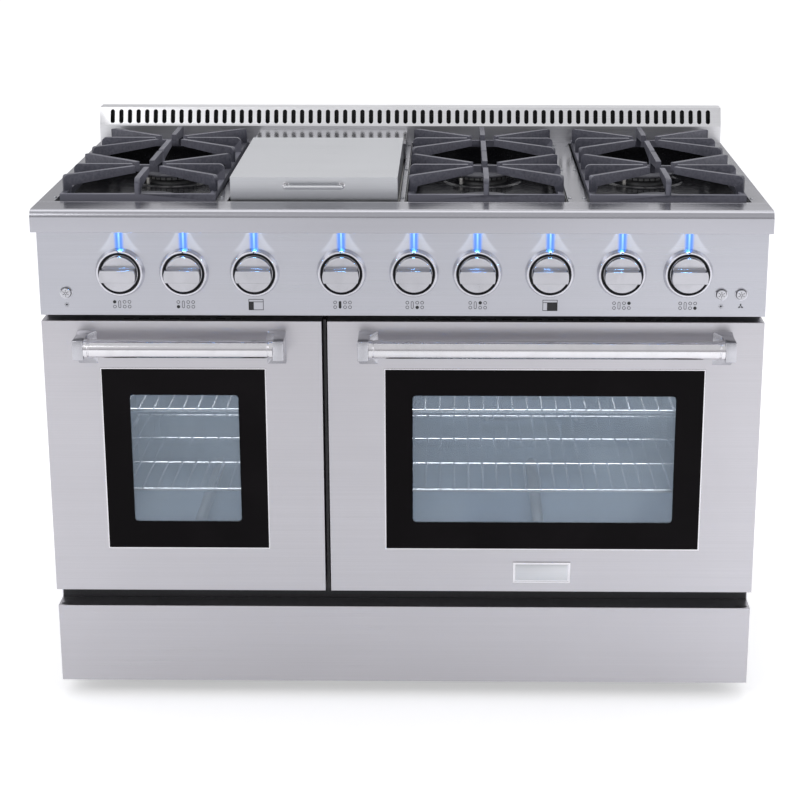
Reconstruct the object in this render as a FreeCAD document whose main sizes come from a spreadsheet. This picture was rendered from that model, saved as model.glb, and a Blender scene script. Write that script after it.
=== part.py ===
"""Freestanding double-oven gas range with six burners and a covered griddle.

Frame: +Z up, +X to the right of a person facing the doors, the front faces -Y.
The origin is on the floor, at the centre of the bounding box. Lengths are in millimetres.
"""
import FreeCAD, Part
import Sketcher
import math
import os
import re

doc = FreeCAD.newDocument("gas_range")

# --------------------------------------------------------------------------- driving sizes
SIZES = {
    # overall
    "width": 1216.0,
    "body_depth": 657.0,
    "floor_gap": 30.0,
    "sheet_metal": 1.5,
    "fit_gap": 0.25,
    # kick panel and the recess above it
    "kick_height": 143.5,
    "kick_setback": 6.0,
    "recess_height": 32.5,
    # doors
    "door_height": 488.5,
    "door_depth": 42.0,
    "left_door_width": 472.0,
    "mullion_gap": 9.5,
    "mullion_clearance": 2.5,
    "mullion_recess": 12.0,
    "seal_gap": 4.0,
    "seal_width": 9.0,
    "seal_clearance": 0.4,
    # door windows
    "window_side": 96.0,
    "window_below": 79.0,
    "window_above": 83.0,
    "window_thickness": 5.0,
    "window_recess": 0.8,
    "window_clearance": 0.5,
    # door liner and inner glass
    "plug_depth": 14.0,
    "plug_clearance": 6.0,
    "inner_window_side": 46.0,
    "inner_window_below": 48.0,
    "inner_window_above": 64.0,
    "inner_glass_lap": 12.0,
    "inner_glass_thickness": 4.0,
    # door hinges
    "hinge_inset": 26.0,
    "hinge_back": 12.0,
    "hinge_up": 7.0,
    "hinge_pin_radius": 4.0,
    "hinge_pin_clearance": 0.3,
    "hinge_plate": 4.0,
    "hinge_leaf_height": 90.0,
    "hinge_lug_radius": 6.5,
    "hinge_side_clearance": 1.5,
    # door handles
    "handle_proud": 54.0,
    "handle_bar_radius": 15.5,
    "handle_level": 627.0,
    "bracket_base_width": 33.5,
    "bracket_base_height": 59.0,
    "bracket_base_drop": 8.0,
    "bracket_base_depth": 13.0,
    "bracket_post_width": 18.5,
    "bracket_post_height": 34.0,
    "left_handle_inset": 60.0,
    "right_handle_inset": 53.0,
    # badge plate
    "badge_width": 100.0,
    "badge_height": 38.0,
    "badge_thickness": 2.5,
    "badge_below_window": 23.5,
    # control panel
    "door_gap": 10.3,
    "panel_height": 151.5,
    "knob_level": 74.0,
    "knob_x_1": -471.0,
    "knob_x_2": -364.0,
    "knob_x_3": -246.0,
    "knob_x_4": -101.0,
    "knob_x_5": 20.0,
    "knob_x_6": 125.5,
    "knob_x_7": 246.5,
    "knob_x_8": 366.0,
    "knob_x_9": 476.5,
    "knob_radius": 30.0,
    "knob_skirt_depth": 14.0,
    "knob_length": 32.0,
    "knob_stand_off": 2.0,
    "knob_grip_height": 21.0,
    "knob_bore_depth": 20.0,
    "bezel_gap": 5.0,
    "bezel_lip": 3.5,
    "bezel_flare": 3.5,
    "bezel_depth": 10.0,
    "stem_radius": 4.0,
    "stem_clearance": 0.3,
    "stem_hole_radius": 7.0,
    "valve_radius": 13.0,
    "valve_length": 36.0,
    "button_x_1": -563.0,
    "button_x_2": 533.0,
    "button_x_3": 566.0,
    "button_level": 39.0,
    "button_radius": 8.5,
    "button_proud": 6.0,
    "button_tail": 10.0,
    "button_clearance": 0.4,
    # bullnose rail and hob
    "bullnose_height": 37.5,
    "bullnose_proud": 45.0,
    "bullnose_run": 68.0,
    "bullnose_round": 13.0,
    "bullnose_sheet": 3.0,
    "hob_sheet": 3.0,
    "hob_opening_front": 30.0,
    "hob_opening_back": 600.0,
    "backguard_front": 610.0,
    "outer_module_x": 445.0,
    "middle_module_x": 140.5,
    "griddle_module_x": -148.0,
    "module_width": 272.0,
    "griddle_module_width": 288.0,
    "tray_depth": 46.0,
    "tray_wall": 1.5,
    "griddle_shelf_height": 26.5,
    "griddle_shelf_front": 440.0,
    # backguard
    "guard_foot_height": 27.0,
    "guard_height": 65.5,
    "guard_lean": 13.0,
    "guard_lip": 4.0,
    "slot_width": 8.5,
    "slot_length": 26.0,
    "slot_pitch": 16.9,
    "slot_edge_margin": 11.0,
    # grates
    "grate_width": 262.0,
    "grate_front": 50.0,
    "grate_depth": 540.0,
    "grate_seat": 4.5,
    "grate_height": 39.0,
    "grate_rail_width": 10.0,
    "grate_rail_height": 12.0,
    "grate_bar": 9.0,
    "grate_arm_height": 19.0,
    "grate_tip_height": 12.0,
    "grate_corner": 9.0,
    "grate_eye_radius": 30.0,
    # burners
    "burner_base_radius": 46.0,
    "burner_crown_radius": 52.0,
    "burner_head_height": 14.0,
    "burner_bore_radius": 18.0,
    "burner_cap_radius": 57.0,
    "burner_cap_height": 9.0,
    "igniter_radius": 3.0,
    "igniter_height": 18.0,
    "igniter_offset": 53.0,
    "supply_tube_radius": 5.0,
    "manifold_radius": 11.0,
    "manifold_back": 78.0,
    # griddle
    "griddle_plate_thickness": 9.0,
    "griddle_plate_drop": 10.0,
    "cover_width": 280.0,
    "cover_front": 42.0,
    "cover_depth": 390.0,
    "cover_height": 43.0,
    "cover_sheet": 2.0,
    "cover_seat": 4.5,
    "cover_handle_width": 99.0,
    "cover_handle_reach": 20.0,
    "cover_handle_radius": 3.0,
    "cover_handle_drop": 14.0,
    # ovens
    "oven_side_margin": 62.0,
    "oven_mullion_margin": 62.0,
    "oven_bottom_margin": 52.0,
    "oven_top_margin": 46.0,
    "oven_depth": 480.0,
    "oven_wall": 1.5,
    "rack_low_level": 338.0,
    "rack_high_level": 485.0,
    "rack_front_gap": 22.0,
    "rack_depth": 420.0,
    "rack_side_gap": 9.0,
    "rack_frame_radius": 3.2,
    "rack_wire_radius": 2.0,
    "rack_wire_pitch": 25.4,
    "guide_width": 14.0,
    "guide_thickness": 2.0,
    "guide_rest_gap": 0.5,
    "lamp_radius": 22.0,
    "lamp_depth": 16.0,
    "fan_radius": 62.0,
    "fan_depth": 18.0,
    "fan_cover_width": 200.0,
    "fan_cover_depth": 30.0,
    "fan_shaft_radius": 4.0,
    "fan_level": 190.0,
    "fan_slot_height": 6.0,
    "motor_radius": 34.0,
    "motor_length": 46.0,
    "burner_tube_radius": 10.0,
    "burner_tube_gap": 60.0,
    "griddle_tube_gap": 30.0,
    # base
    "rail_height": 30.0,
    "rail_width": 40.0,
    "foot_inset": 60.0,
    "foot_radius": 20.0,
    "foot_pad_height": 10.0,
    "foot_stem_radius": 6.0,
    "foot_stem_clearance": 0.3,
    # service connections at the back
    "inlet_x": 420.0,
    "inlet_level": 95.0,
    "inlet_radius": 10.5,
    "inlet_length": 34.0,
    "service_hole_width": 150.0,
    "service_hole_height": 110.0,
    "power_box_width": 44.0,
}

# ------------------------------------------------------------------ places worked out from them
PLACES = {
    "half_width": "width / 2",
    "face_y": "(handle_proud - body_depth) / 2",
    "back_y": "(handle_proud + body_depth) / 2",
    "frame_y": "face_y + door_depth + seal_gap",
    "kick_top": "floor_gap + kick_height",
    "door_bottom": "kick_top + recess_height",
    "door_top": "door_bottom + door_height",
    "panel_bottom": "door_top + door_gap",
    "bullnose_bottom": "panel_bottom + panel_height",
    "hob_top": "bullnose_bottom + bullnose_height",
    "left_door_end": "width / -2 + left_door_width",
    "right_door_start": "left_door_end + mullion_gap",
    "hinge_y": "face_y + door_depth - hinge_back",
    "hinge_z": "door_bottom + hinge_up",
    "knob_z": "panel_bottom + knob_level",
    "bezel_bore_radius": "knob_radius + bezel_gap",
    "bezel_lip_radius": "bezel_bore_radius + bezel_lip",
    "bezel_radius": "bezel_lip_radius + bezel_flare",
    "button_z": "panel_bottom + button_level",
    "tray_floor": "hob_top - tray_depth",
    "grate_bottom": "hob_top - grate_seat",
    "guard_y": "face_y + backguard_front",
    "oven_floor": "door_bottom + oven_bottom_margin",
    "oven_ceiling": "door_top - oven_top_margin",
    "left_oven_start": "width / -2 + oven_side_margin",
    "left_oven_end": "left_door_end - oven_mullion_margin",
    "right_oven_start": "right_door_start + oven_mullion_margin",
    "right_oven_end": "width / 2 - oven_side_margin",
    "oven_back": "frame_y + oven_depth",
    "burner_front_y": "face_y + grate_front + grate_depth / 4",
    "burner_back_y": "face_y + grate_front + 3 * grate_depth / 4",
}

DOORS = {
    "left": ("-half_width", "left_door_end", "left_oven_start", "left_oven_end",
             "left_handle_inset"),
    "right": ("right_door_start", "half_width", "right_oven_start", "right_oven_end",
              "right_handle_inset"),
}
KNOB_ROLES = (
    "burner_back_left", "burner_front_left", "oven_left", "griddle", "burner_front_middle",
    "burner_back_middle", "oven_right", "burner_back_right", "burner_front_right",
)
BUTTON_ROLES = ("light_left", "light_right", "convection")
GRATE_CENTRES = {"left": "-outer_module_x", "middle": "middle_module_x", "right": "outer_module_x"}
UPRIGHT = FreeCAD.Rotation()
OUTWARD = FreeCAD.Rotation(FreeCAD.Vector(1, 0, 0), 90)
ACROSS = FreeCAD.Rotation(FreeCAD.Vector(0, 1, 0), 90)
ALONG = FreeCAD.Rotation(FreeCAD.Vector(1, 0, 0), -90)

nodes = []


# --------------------------------------------------------------------------- document helpers
def fill_sheet(name, cells):
    """Make a spreadsheet with one named row for each entry."""
    sheet = doc.addObject("Spreadsheet::Sheet", name)
    for row, (alias, content) in enumerate(cells.items(), start=1):
        sheet.set(f"A{row}", alias)
        sheet.set(f"B{row}", content)
        sheet.setAlias(f"B{row}", alias)
    doc.recompute()
    return sheet


def in_sheets(formula):
    """Turn the plain words of a formula into references to the two sheets."""
    def reference(match):
        word = match.group(0)
        if word in SIZES:
            return "Sizes." + word
        if word in PLACES:
            return "Places." + word
        return word
    return re.sub(r"[a-z][a-z0-9_]*", reference, formula)


def bind(feature, prop, formula):
    """Bind one property to a formula of sheet words."""
    feature.setExpression(prop, in_sheets(formula))


def size(name):
    """Read one number back from the sheets."""
    sheet = sizes if name in SIZES else places
    return float(sheet.get(name))


def at(feature, x="0", y="0", z="0"):
    """Bind a feature's position."""
    for axis, formula in zip("xyz", (x, y, z)):
        bind(feature, "Placement.Base." + axis, formula)
    return feature


def box(label, x, y, z):
    """A block between two limits on each axis."""
    block = doc.addObject("Part::Box", label)
    at(block, x[0], y[0], z[0])
    for prop, (low, high) in (("Length", x), ("Width", y), ("Height", z)):
        bind(block, prop, f"({high}) - ({low})")
    return block


def rod(label, radius, length, place, turn=UPRIGHT):
    """A cylinder that starts at a place and runs along Z, or along the turned axis."""
    cylinder = doc.addObject("Part::Cylinder", label)
    bind(cylinder, "Radius", radius)
    bind(cylinder, "Height", length)
    cylinder.Placement = FreeCAD.Placement(FreeCAD.Vector(), turn)
    return at(cylinder, *place)


def fuse(label, pieces):
    """One solid from pieces that overlap or touch."""
    joined = doc.addObject("Part::MultiFuse", label)
    joined.Shapes = pieces
    joined.Refine = True
    return joined


def cut(label, base, tools):
    """A base with one or more tools taken out of it."""
    tool = tools[0] if len(tools) == 1 else fuse(label + "_tools", tools)
    result = doc.addObject("Part::Cut", label)
    result.Base = base
    result.Tool = tool
    result.Refine = True
    return result


def group(label, pieces):
    """Separate solids that share one node."""
    compound = doc.addObject("Part::Compound", label)
    compound.Links = pieces
    return compound


def node(feature, label=None):
    """Register a finished sub-part under its own label."""
    if label:
        feature.Label = label
    nodes.append(feature)
    return feature


def shape_node(label, shape):
    """A sub-part whose shape is worked out below from the sheet's numbers."""
    feature = doc.addObject("Part::Feature", label)
    feature.Shape = shape
    feature.Placement = FreeCAD.Placement()
    return node(feature)


def origin_plane(body, role):
    """The origin plane of a body that has the given role."""
    return next(item for item in body.Origin.OriginFeatures if item.Role == role)


def outline(body, label, role, loops, lift=None):
    """A fully dimensioned sketch of closed polygons, each corner bound to two formulas."""
    sketch = body.newObject("Sketcher::SketchObject", label)
    sketch.AttachmentSupport = [(origin_plane(body, role), "")]
    sketch.MapMode = "FlatFace"
    if lift:
        bind(sketch, "AttachmentOffset.Base.z", lift)
    for corners in loops:
        first = sketch.GeometryCount
        count = len(corners)
        for index in range(count):
            turn = 2 * math.pi * index / count
            after = 2 * math.pi * (index + 1) / count
            sketch.addGeometry(Part.LineSegment(
                FreeCAD.Vector(math.cos(turn), math.sin(turn), 0),
                FreeCAD.Vector(math.cos(after), math.sin(after), 0)))
        for index in range(count):
            following = first + (index + 1) % count
            sketch.addConstraint(Sketcher.Constraint("Coincident", first + index, 2, following, 1))
        for index, corner in enumerate(corners):
            for kind, formula in zip(("DistanceX", "DistanceY"), corner):
                number = sketch.addConstraint(Sketcher.Constraint(kind, -1, 1, first + index, 1, 1.0))
                bind(sketch, f"Constraints[{number}]", formula)
    return sketch


def padded(label, role, loops, length, symmetric=False):
    """A body padded from closed polygons on one of its origin planes."""
    body = doc.addObject("PartDesign::Body", label)
    sketch = outline(body, label + "_outline", role, loops)
    pad = body.newObject("PartDesign::Pad", label + "_pad")
    pad.Profile = sketch
    pad.Midplane = symmetric
    bind(pad, "Length", length)
    return body


def turned(label, corners):
    """A body turned about its own Z axis from a half outline in its XZ plane."""
    body = doc.addObject("PartDesign::Body", label)
    sketch = outline(body, label + "_outline", "XZ_Plane", [corners])
    lathe = body.newObject("PartDesign::Revolution", label + "_turning")
    lathe.Profile = sketch
    lathe.ReferenceAxis = (sketch, ["V_Axis"])
    lathe.Angle = 360
    return body


def copies(label, pattern, spots):
    """Separate copies of one turned or padded pattern, moved to the given places."""
    doc.recompute()
    return shape_node(label, Part.makeCompound([
        pattern.Shape.copy().translated(FreeCAD.Vector(*spot)) for spot in spots
    ]))


# --------------------------------------------------------------------------- casing and base
def outer_panels():
    """Two side sheets and a back sheet with a hole for the service connections."""
    sides = [
        box(f"side_panel_{hand}", span, ("frame_y", "back_y - sheet_metal - fit_gap"),
            ("floor_gap", "bullnose_bottom - fit_gap"))
        for hand, span in (("left", ("-half_width", "-half_width + sheet_metal")),
                           ("right", ("half_width - sheet_metal", "half_width")))
    ]
    back = cut("back_panel", box(
        "back_sheet", ("-half_width", "half_width"), ("back_y - sheet_metal", "back_y"),
        ("floor_gap", "hob_top - hob_sheet - fit_gap")), [
            box("service_hole", ("inlet_x - service_hole_width / 2", "inlet_x + service_hole_width / 2"),
                ("back_y - 10 * sheet_metal", "back_y + sheet_metal"),
                ("floor_gap + inlet_level - service_hole_height / 2",
                 "floor_gap + inlet_level + service_hole_height / 2"))])
    node(group("outer_panels", sides + [back]))


def foot_spots():
    """Formulas for the middles of the four feet."""
    return [
        (f"{side} * (half_width - foot_inset)", y)
        for side in (-1, 1)
        for y in ("frame_y + foot_inset + 10", "back_y - foot_inset")
    ]


def base_frame():
    """A welded chassis of rails that carries the ovens and takes the four feet."""
    level = ("floor_gap", "floor_gap + rail_height")
    inner = "(half_width - sheet_metal - fit_gap)"
    back = "back_y - sheet_metal - 2 * fit_gap"
    front = "frame_y + sheet_metal + fit_gap"
    rails = [
        box("rail_left", ("-" + inner, f"-{inner} + 2 * rail_width"), (front, back), level),
        box("rail_right", (f"{inner} - 2 * rail_width", inner), (front, back), level),
        box("rail_middle", ("left_door_end - rail_width / 2", "left_door_end + rail_width / 2"),
            (front, back), level),
        box("rail_front", ("-" + inner, inner), (front, f"{front} + rail_width"), level),
        box("rail_back", ("-" + inner, inner), (f"{back} - rail_width", back), level),
    ]
    holes = [
        rod(f"foot_hole_{number}", "foot_stem_radius + foot_stem_clearance", "2 * rail_height",
            (x, y, "floor_gap - rail_height / 2"))
        for number, (x, y) in enumerate(foot_spots())
    ]
    node(cut("base_frame", fuse("base_rails", rails), holes))


def leveling_feet():
    """Four round pads on stems that screw into the base rails."""
    feet = []
    for number, (x, y) in enumerate(foot_spots()):
        feet.append(fuse(f"foot_{number}", [
            rod(f"foot_pad_{number}", "foot_radius", "foot_pad_height", (x, y, "0")),
            rod(f"foot_stem_{number}", "foot_stem_radius", "floor_gap + rail_height - foot_pad_height / 2",
                (x, y, "foot_pad_height / 2")),
        ]))
    node(group("leveling_feet", feet))


def kick_panel():
    """A folded sheet below the doors, open at its back and its underside."""
    front = "face_y + kick_setback"
    node(cut("kick_panel", box(
        "kick_blank", ("-half_width", "half_width"), (front, "frame_y - fit_gap"),
        ("floor_gap", "kick_top")), [
            box("kick_hollow", ("-half_width + sheet_metal", "half_width - sheet_metal"),
                (f"{front} + sheet_metal", "frame_y + sheet_metal"),
                ("floor_gap - sheet_metal", "kick_top - sheet_metal"))]))


def front_frame():
    """The steel face behind the doors: two oven mouths, a mullion and the hinge lugs."""
    inner = "(half_width - sheet_metal - fit_gap)"
    plate = ("frame_y", "frame_y + sheet_metal")
    pieces = [
        box("frame_plate", ("-" + inner, inner), plate, ("floor_gap", "tray_floor - 2 * tray_wall")),
        box("mullion", ("left_door_end + mullion_clearance", "right_door_start - mullion_clearance"),
            ("face_y + mullion_recess", "frame_y + sheet_metal"), ("door_bottom", "door_top")),
    ]
    holes = []
    for hand, (_, _, start, end, _) in DOORS.items():
        holes.append(box(
            f"oven_mouth_{hand}", (f"{start} - oven_wall - fit_gap", f"{end} + oven_wall + fit_gap"),
            ("frame_y - sheet_metal", "frame_y + 2 * sheet_metal"),
            ("oven_floor - oven_wall - fit_gap", "oven_ceiling + oven_wall + fit_gap")))
    for number, x in enumerate(hinge_spots()):
        pieces.append(box(f"lug_bar_{number}", (x, f"{x} + hinge_plate"),
                          ("hinge_y", "frame_y + sheet_metal"),
                          ("hinge_z - hinge_lug_radius", "hinge_z + hinge_lug_radius")))
        pieces.append(rod(f"lug_eye_{number}", "hinge_lug_radius", "hinge_plate", (x, "hinge_y", "hinge_z"),
                          ACROSS))
        holes.append(rod(f"lug_hole_{number}", "hinge_pin_radius + hinge_pin_clearance", "3 * hinge_plate",
                         (f"{x} - hinge_plate", "hinge_y", "hinge_z"), ACROSS))
    node(cut("front_frame", fuse("frame_pieces", pieces), holes))


# --------------------------------------------------------------------------- doors
def hinge_spots(hands=("left", "right")):
    """Formulas for the low-X face of each hinge lug, two to a door."""
    return [
        spot
        for hand in hands
        for spot in (f"{DOORS[hand][0]} + hinge_inset", f"{DOORS[hand][1]} - hinge_inset - hinge_plate")
    ]


def lug_notches(hand, part):
    """Slots that let the frame's lugs into the back of a door as it swings."""
    return [
        box(f"lug_notch_{part}_{hand}_{number}",
            (f"{x} - hinge_side_clearance", f"{x} + hinge_plate + hinge_side_clearance"),
            ("hinge_y - hinge_lug_radius - hinge_side_clearance", "frame_y + plug_depth"),
            ("door_bottom - sheet_metal", "hinge_z + hinge_lug_radius + hinge_side_clearance"))
        for number, x in enumerate(hinge_spots([hand]))
    ]


def window_limits(hand, spread="0"):
    """Formulas for the outer glass's place in its door, grown by a spread."""
    start, end = DOORS[hand][:2]
    return (
        (f"{start} + window_side - ({spread})", f"{end} - window_side + ({spread})"),
        (f"door_bottom + window_below - ({spread})", f"door_top - window_above + ({spread})"),
    )


def door(hand):
    """One oven door: outer panel, outer glass, liner, inner glass, handle and hinges."""
    start, end, oven_start, oven_end, handle_inset = DOORS[hand]
    back = "face_y + door_depth"
    level = ("door_bottom", "door_top")

    hole_x, hole_z = window_limits(hand, "window_clearance")
    node(cut(f"door_panel_{hand}", box(f"door_blank_{hand}", (start, end), ("face_y", back), level), [
        box(f"door_hollow_{hand}", (f"{start} + sheet_metal", f"{end} - sheet_metal"),
            ("face_y + sheet_metal", f"{back} + sheet_metal"),
            ("door_bottom + sheet_metal", "door_top - sheet_metal")),
        box(f"window_hole_{hand}", hole_x, ("face_y - sheet_metal", "face_y + door_depth / 2"), hole_z),
        *lug_notches(hand, "panel"),
    ]))

    glass_x, glass_z = window_limits(hand)
    node(box(f"window_{hand}", glass_x,
             ("face_y + window_recess", "face_y + window_recess + window_thickness"), glass_z))

    plug_x = (f"{oven_start} + plug_clearance", f"{oven_end} - plug_clearance")
    plug_z = ("oven_floor + plug_clearance", "oven_ceiling - plug_clearance")
    skin = "(sheet_metal + fit_gap)"
    liner = fuse(f"liner_skin_{hand}", [
        box(f"liner_flange_{hand}", (f"{start} + {skin}", f"{end} - {skin}"),
            (f"{back} - sheet_metal", back),
            (f"door_bottom + {skin}", f"door_top - {skin}")),
        box(f"liner_plug_{hand}", plug_x, (f"{back} - sheet_metal", f"{back} + plug_depth"), plug_z),
    ])
    opening_x = (f"{plug_x[0]} + inner_window_side", f"{plug_x[1]} - inner_window_side")
    opening_z = (f"{plug_z[0]} + inner_window_below", f"{plug_z[1]} - inner_window_above")
    node(cut(f"door_liner_{hand}", liner, [
        box(f"liner_hollow_{hand}", (f"{plug_x[0]} + sheet_metal", f"{plug_x[1]} - sheet_metal"),
            (f"{back} - 3 * sheet_metal", f"{back} + plug_depth - sheet_metal"),
            (f"{plug_z[0]} + sheet_metal", f"{plug_z[1]} - sheet_metal")),
        box(f"liner_window_{hand}", opening_x, (back, f"{back} + 2 * plug_depth"), opening_z),
        *lug_notches(hand, "liner"),
    ]))

    glass_back = f"{back} + plug_depth - sheet_metal - fit_gap"
    node(box(f"inner_glass_{hand}",
             (f"{opening_x[0]} - inner_glass_lap", f"{opening_x[1]} + inner_glass_lap"),
             (f"{glass_back} - inner_glass_thickness", glass_back),
             (f"{opening_z[0]} - inner_glass_lap", f"{opening_z[1]} + inner_glass_lap")))

    handle(hand, f"{start} + {handle_inset}", f"{end} - {handle_inset}")
    hinges(hand)


def handle(hand, start, end):
    """A straight round bar between two posts that flare where they meet the door."""
    low = "floor_gap + handle_level"
    base = (f"{low} - bracket_base_drop - bracket_base_height / 2",
            f"{low} - bracket_base_drop + bracket_base_height / 2")
    post = (f"{low} - bracket_post_height / 2", f"{low} + bracket_post_height / 2")
    front = "face_y - handle_proud"
    foot = "face_y - bracket_base_depth"
    pieces = [rod(f"handle_bar_{hand}", "handle_bar_radius",
                  f"({end}) - ({start}) - bracket_post_width",
                  (f"{start} + bracket_post_width / 2", f"{front} + handle_bar_radius", low), ACROSS)]
    for side, base_x, post_x in (
            ("low", (start, f"{start} + bracket_base_width"), (start, f"{start} + bracket_post_width")),
            ("high", (f"{end} - bracket_base_width", end), (f"{end} - bracket_post_width", end))):
        pieces.append(box(f"handle_post_{side}_{hand}", post_x, (front, foot), post))
        flare = doc.addObject("Part::Wedge", f"handle_flare_{side}_{hand}")
        limits = {
            "Ymin": foot, "Ymax": "face_y",
            "Xmin": post_x[0], "Xmax": post_x[1], "Zmin": post[0], "Zmax": post[1],
            "X2min": base_x[0], "X2max": base_x[1], "Z2min": base[0], "Z2max": base[1],
        }
        for prop, formula in limits.items():
            bind(flare, prop, formula)
        pieces.append(flare)
    node(fuse(f"handle_{hand}", pieces))


def hinges(hand):
    """Two leaves inside the door, each with the pin that turns in the frame's lug."""
    leaves = []
    sides = ("hinge_plate + hinge_side_clearance", "-hinge_plate - hinge_side_clearance")
    for number, (x, shift) in enumerate(zip(hinge_spots([hand]), sides)):
        leaf = f"{x} + {shift}"
        leaves.append(fuse(f"hinge_{hand}_{number}", [
            box(f"hinge_leaf_{hand}_{number}", (leaf, f"{leaf} + hinge_plate"),
                ("hinge_y - hinge_lug_radius", "hinge_y + hinge_lug_radius"),
                ("door_bottom + sheet_metal + fit_gap", "door_bottom + hinge_leaf_height")),
            rod(f"hinge_pin_{hand}_{number}", "hinge_pin_radius", "2 * hinge_plate + hinge_side_clearance",
                (f"{x}" if number == 0 else leaf, "hinge_y", "hinge_z"), ACROSS),
        ]))
    node(group(f"hinges_{hand}", leaves))


def badge_plate():
    """A blank plate on the right door, below its window."""
    middle = "(right_door_start + half_width) / 2"
    top = "door_bottom + window_below - badge_below_window"
    node(box("badge_plate", (f"{middle} - badge_width / 2", f"{middle} + badge_width / 2"),
             ("face_y - badge_thickness", "face_y"), (f"{top} - badge_height", top)))


def door_gaskets():
    """A braided seal round each oven mouth."""
    seals = []
    depth = ("frame_y - seal_gap + seal_clearance", "frame_y")
    for hand, (_, _, start, end, _) in DOORS.items():
        edge = "(oven_wall + fit_gap + 2)"
        reach = f"({edge} + seal_width)"
        seals.append(cut(f"seal_{hand}", box(
            f"seal_blank_{hand}", (f"{start} - {reach}", f"{end} + {reach}"), depth,
            (f"oven_floor - {reach}", f"oven_ceiling + {reach}")), [
                box(f"seal_hole_{hand}", (f"{start} - {edge}", f"{end} + {edge}"),
                    ("frame_y - 2 * seal_gap", "frame_y + seal_gap"),
                    (f"oven_floor - {edge}", f"oven_ceiling + {edge}"))]))
    node(group("door_gaskets", seals))


# --------------------------------------------------------------------------- ovens
def oven_cavity(hand):
    """An enamelled oven box, open at the front."""
    start, end = DOORS[hand][2:4]
    shell = box(f"cavity_shell_{hand}", (f"{start} - oven_wall", f"{end} + oven_wall"),
                ("frame_y", "oven_back + oven_wall"),
                ("oven_floor - oven_wall", "oven_ceiling + oven_wall"))
    tools = [box(f"cavity_room_{hand}", (start, end), ("frame_y - oven_wall", "oven_back"),
                 ("oven_floor", "oven_ceiling"))]
    tools.append(rod(f"lamp_hole_{hand}", "lamp_radius + fit_gap", "4 * oven_wall",
                     (lamp_x(hand), "oven_back - 2 * oven_wall", lamp_z()), ALONG))
    if hand == "right":
        tools.append(rod("shaft_hole", "2 * fan_shaft_radius", "4 * oven_wall",
                         (fan_x(), "oven_back - 2 * oven_wall", fan_z()), ALONG))
    node(cut(f"oven_cavity_{hand}", shell, tools))


def lamp_x(hand):
    """Formula for the middle of an oven's lamp."""
    return f"{DOORS[hand][3]} - 2 * lamp_radius"


def lamp_z():
    """Formula for the level of the oven lamps."""
    return "oven_ceiling - 2 * lamp_radius"


def fan_x():
    """Formula for the middle of the convection fan."""
    return "(right_oven_start + right_oven_end) / 2"


def fan_z():
    """Formula for the level of the convection fan."""
    return "oven_floor + fan_level"


def oven_lamps():
    """A round lamp with a glass cover in the back wall of each oven."""
    node(group("oven_lamps", [
        rod(f"lamp_{hand}", "lamp_radius", "lamp_depth + 2 * oven_wall",
            (lamp_x(hand), "oven_back - lamp_depth", lamp_z()), ALONG)
        for hand in DOORS
    ]))


def rack_guides():
    """Two folded ledges on each side of both ovens, where the racks slide."""
    ledges = []
    for hand, (_, _, start, end, _) in DOORS.items():
        for level in ("low", "high"):
            top = f"floor_gap + rack_{level}_level - rack_frame_radius - guide_rest_gap"
            for side, span in (("a", (start, f"{start} + guide_width")),
                               ("b", (f"{end} - guide_width", end))):
                ledges.append(box(
                    f"guide_{hand}_{level}_{side}", span,
                    ("frame_y + rack_front_gap", "oven_back - fit_gap"), (f"{top} - guide_thickness", top)))
    node(group("rack_guides", ledges))


def oven_rack(hand, level):
    """A wire shelf: a rod frame, two cross rods and wires from front to back."""
    start = size(DOORS[hand][2]) + size("rack_side_gap")
    end = size(DOORS[hand][3]) - size("rack_side_gap")
    front = size("frame_y") + size("rack_front_gap")
    back = front + size("rack_depth")
    z = size("floor_gap") + size(f"rack_{level}_level")
    frame_radius = size("rack_frame_radius")
    wire_radius = size("rack_wire_radius")
    x_axis, y_axis = FreeCAD.Vector(1, 0, 0), FreeCAD.Vector(0, 1, 0)
    rods = [
        Part.makeCylinder(frame_radius, end - start + 2 * frame_radius,
                          FreeCAD.Vector(start - frame_radius, y, z), x_axis)
        for y in (front, back)
    ]
    rods += [
        Part.makeCylinder(0.9 * frame_radius, back - front, FreeCAD.Vector(x, front, z), y_axis)
        for x in (start, end)
    ]
    rods += [
        Part.makeCylinder(0.8 * frame_radius, end - start,
                          FreeCAD.Vector(start, front + third * (back - front) / 3, z), x_axis)
        for third in (1, 2)
    ]
    pitch = size("rack_wire_pitch")
    gaps = math.floor((end - start) / pitch)
    first = (start + end - (gaps - 1) * pitch) / 2
    for number in range(gaps):
        foot = FreeCAD.Vector(first + number * pitch, front - wire_radius / 2,
                              z + frame_radius - wire_radius / 2)
        rods.append(Part.makeCylinder(wire_radius, back - front + wire_radius, foot, y_axis))
    shape_node(f"rack_{hand}_{level}", rods[0].multiFuse(rods[1:]))


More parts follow.
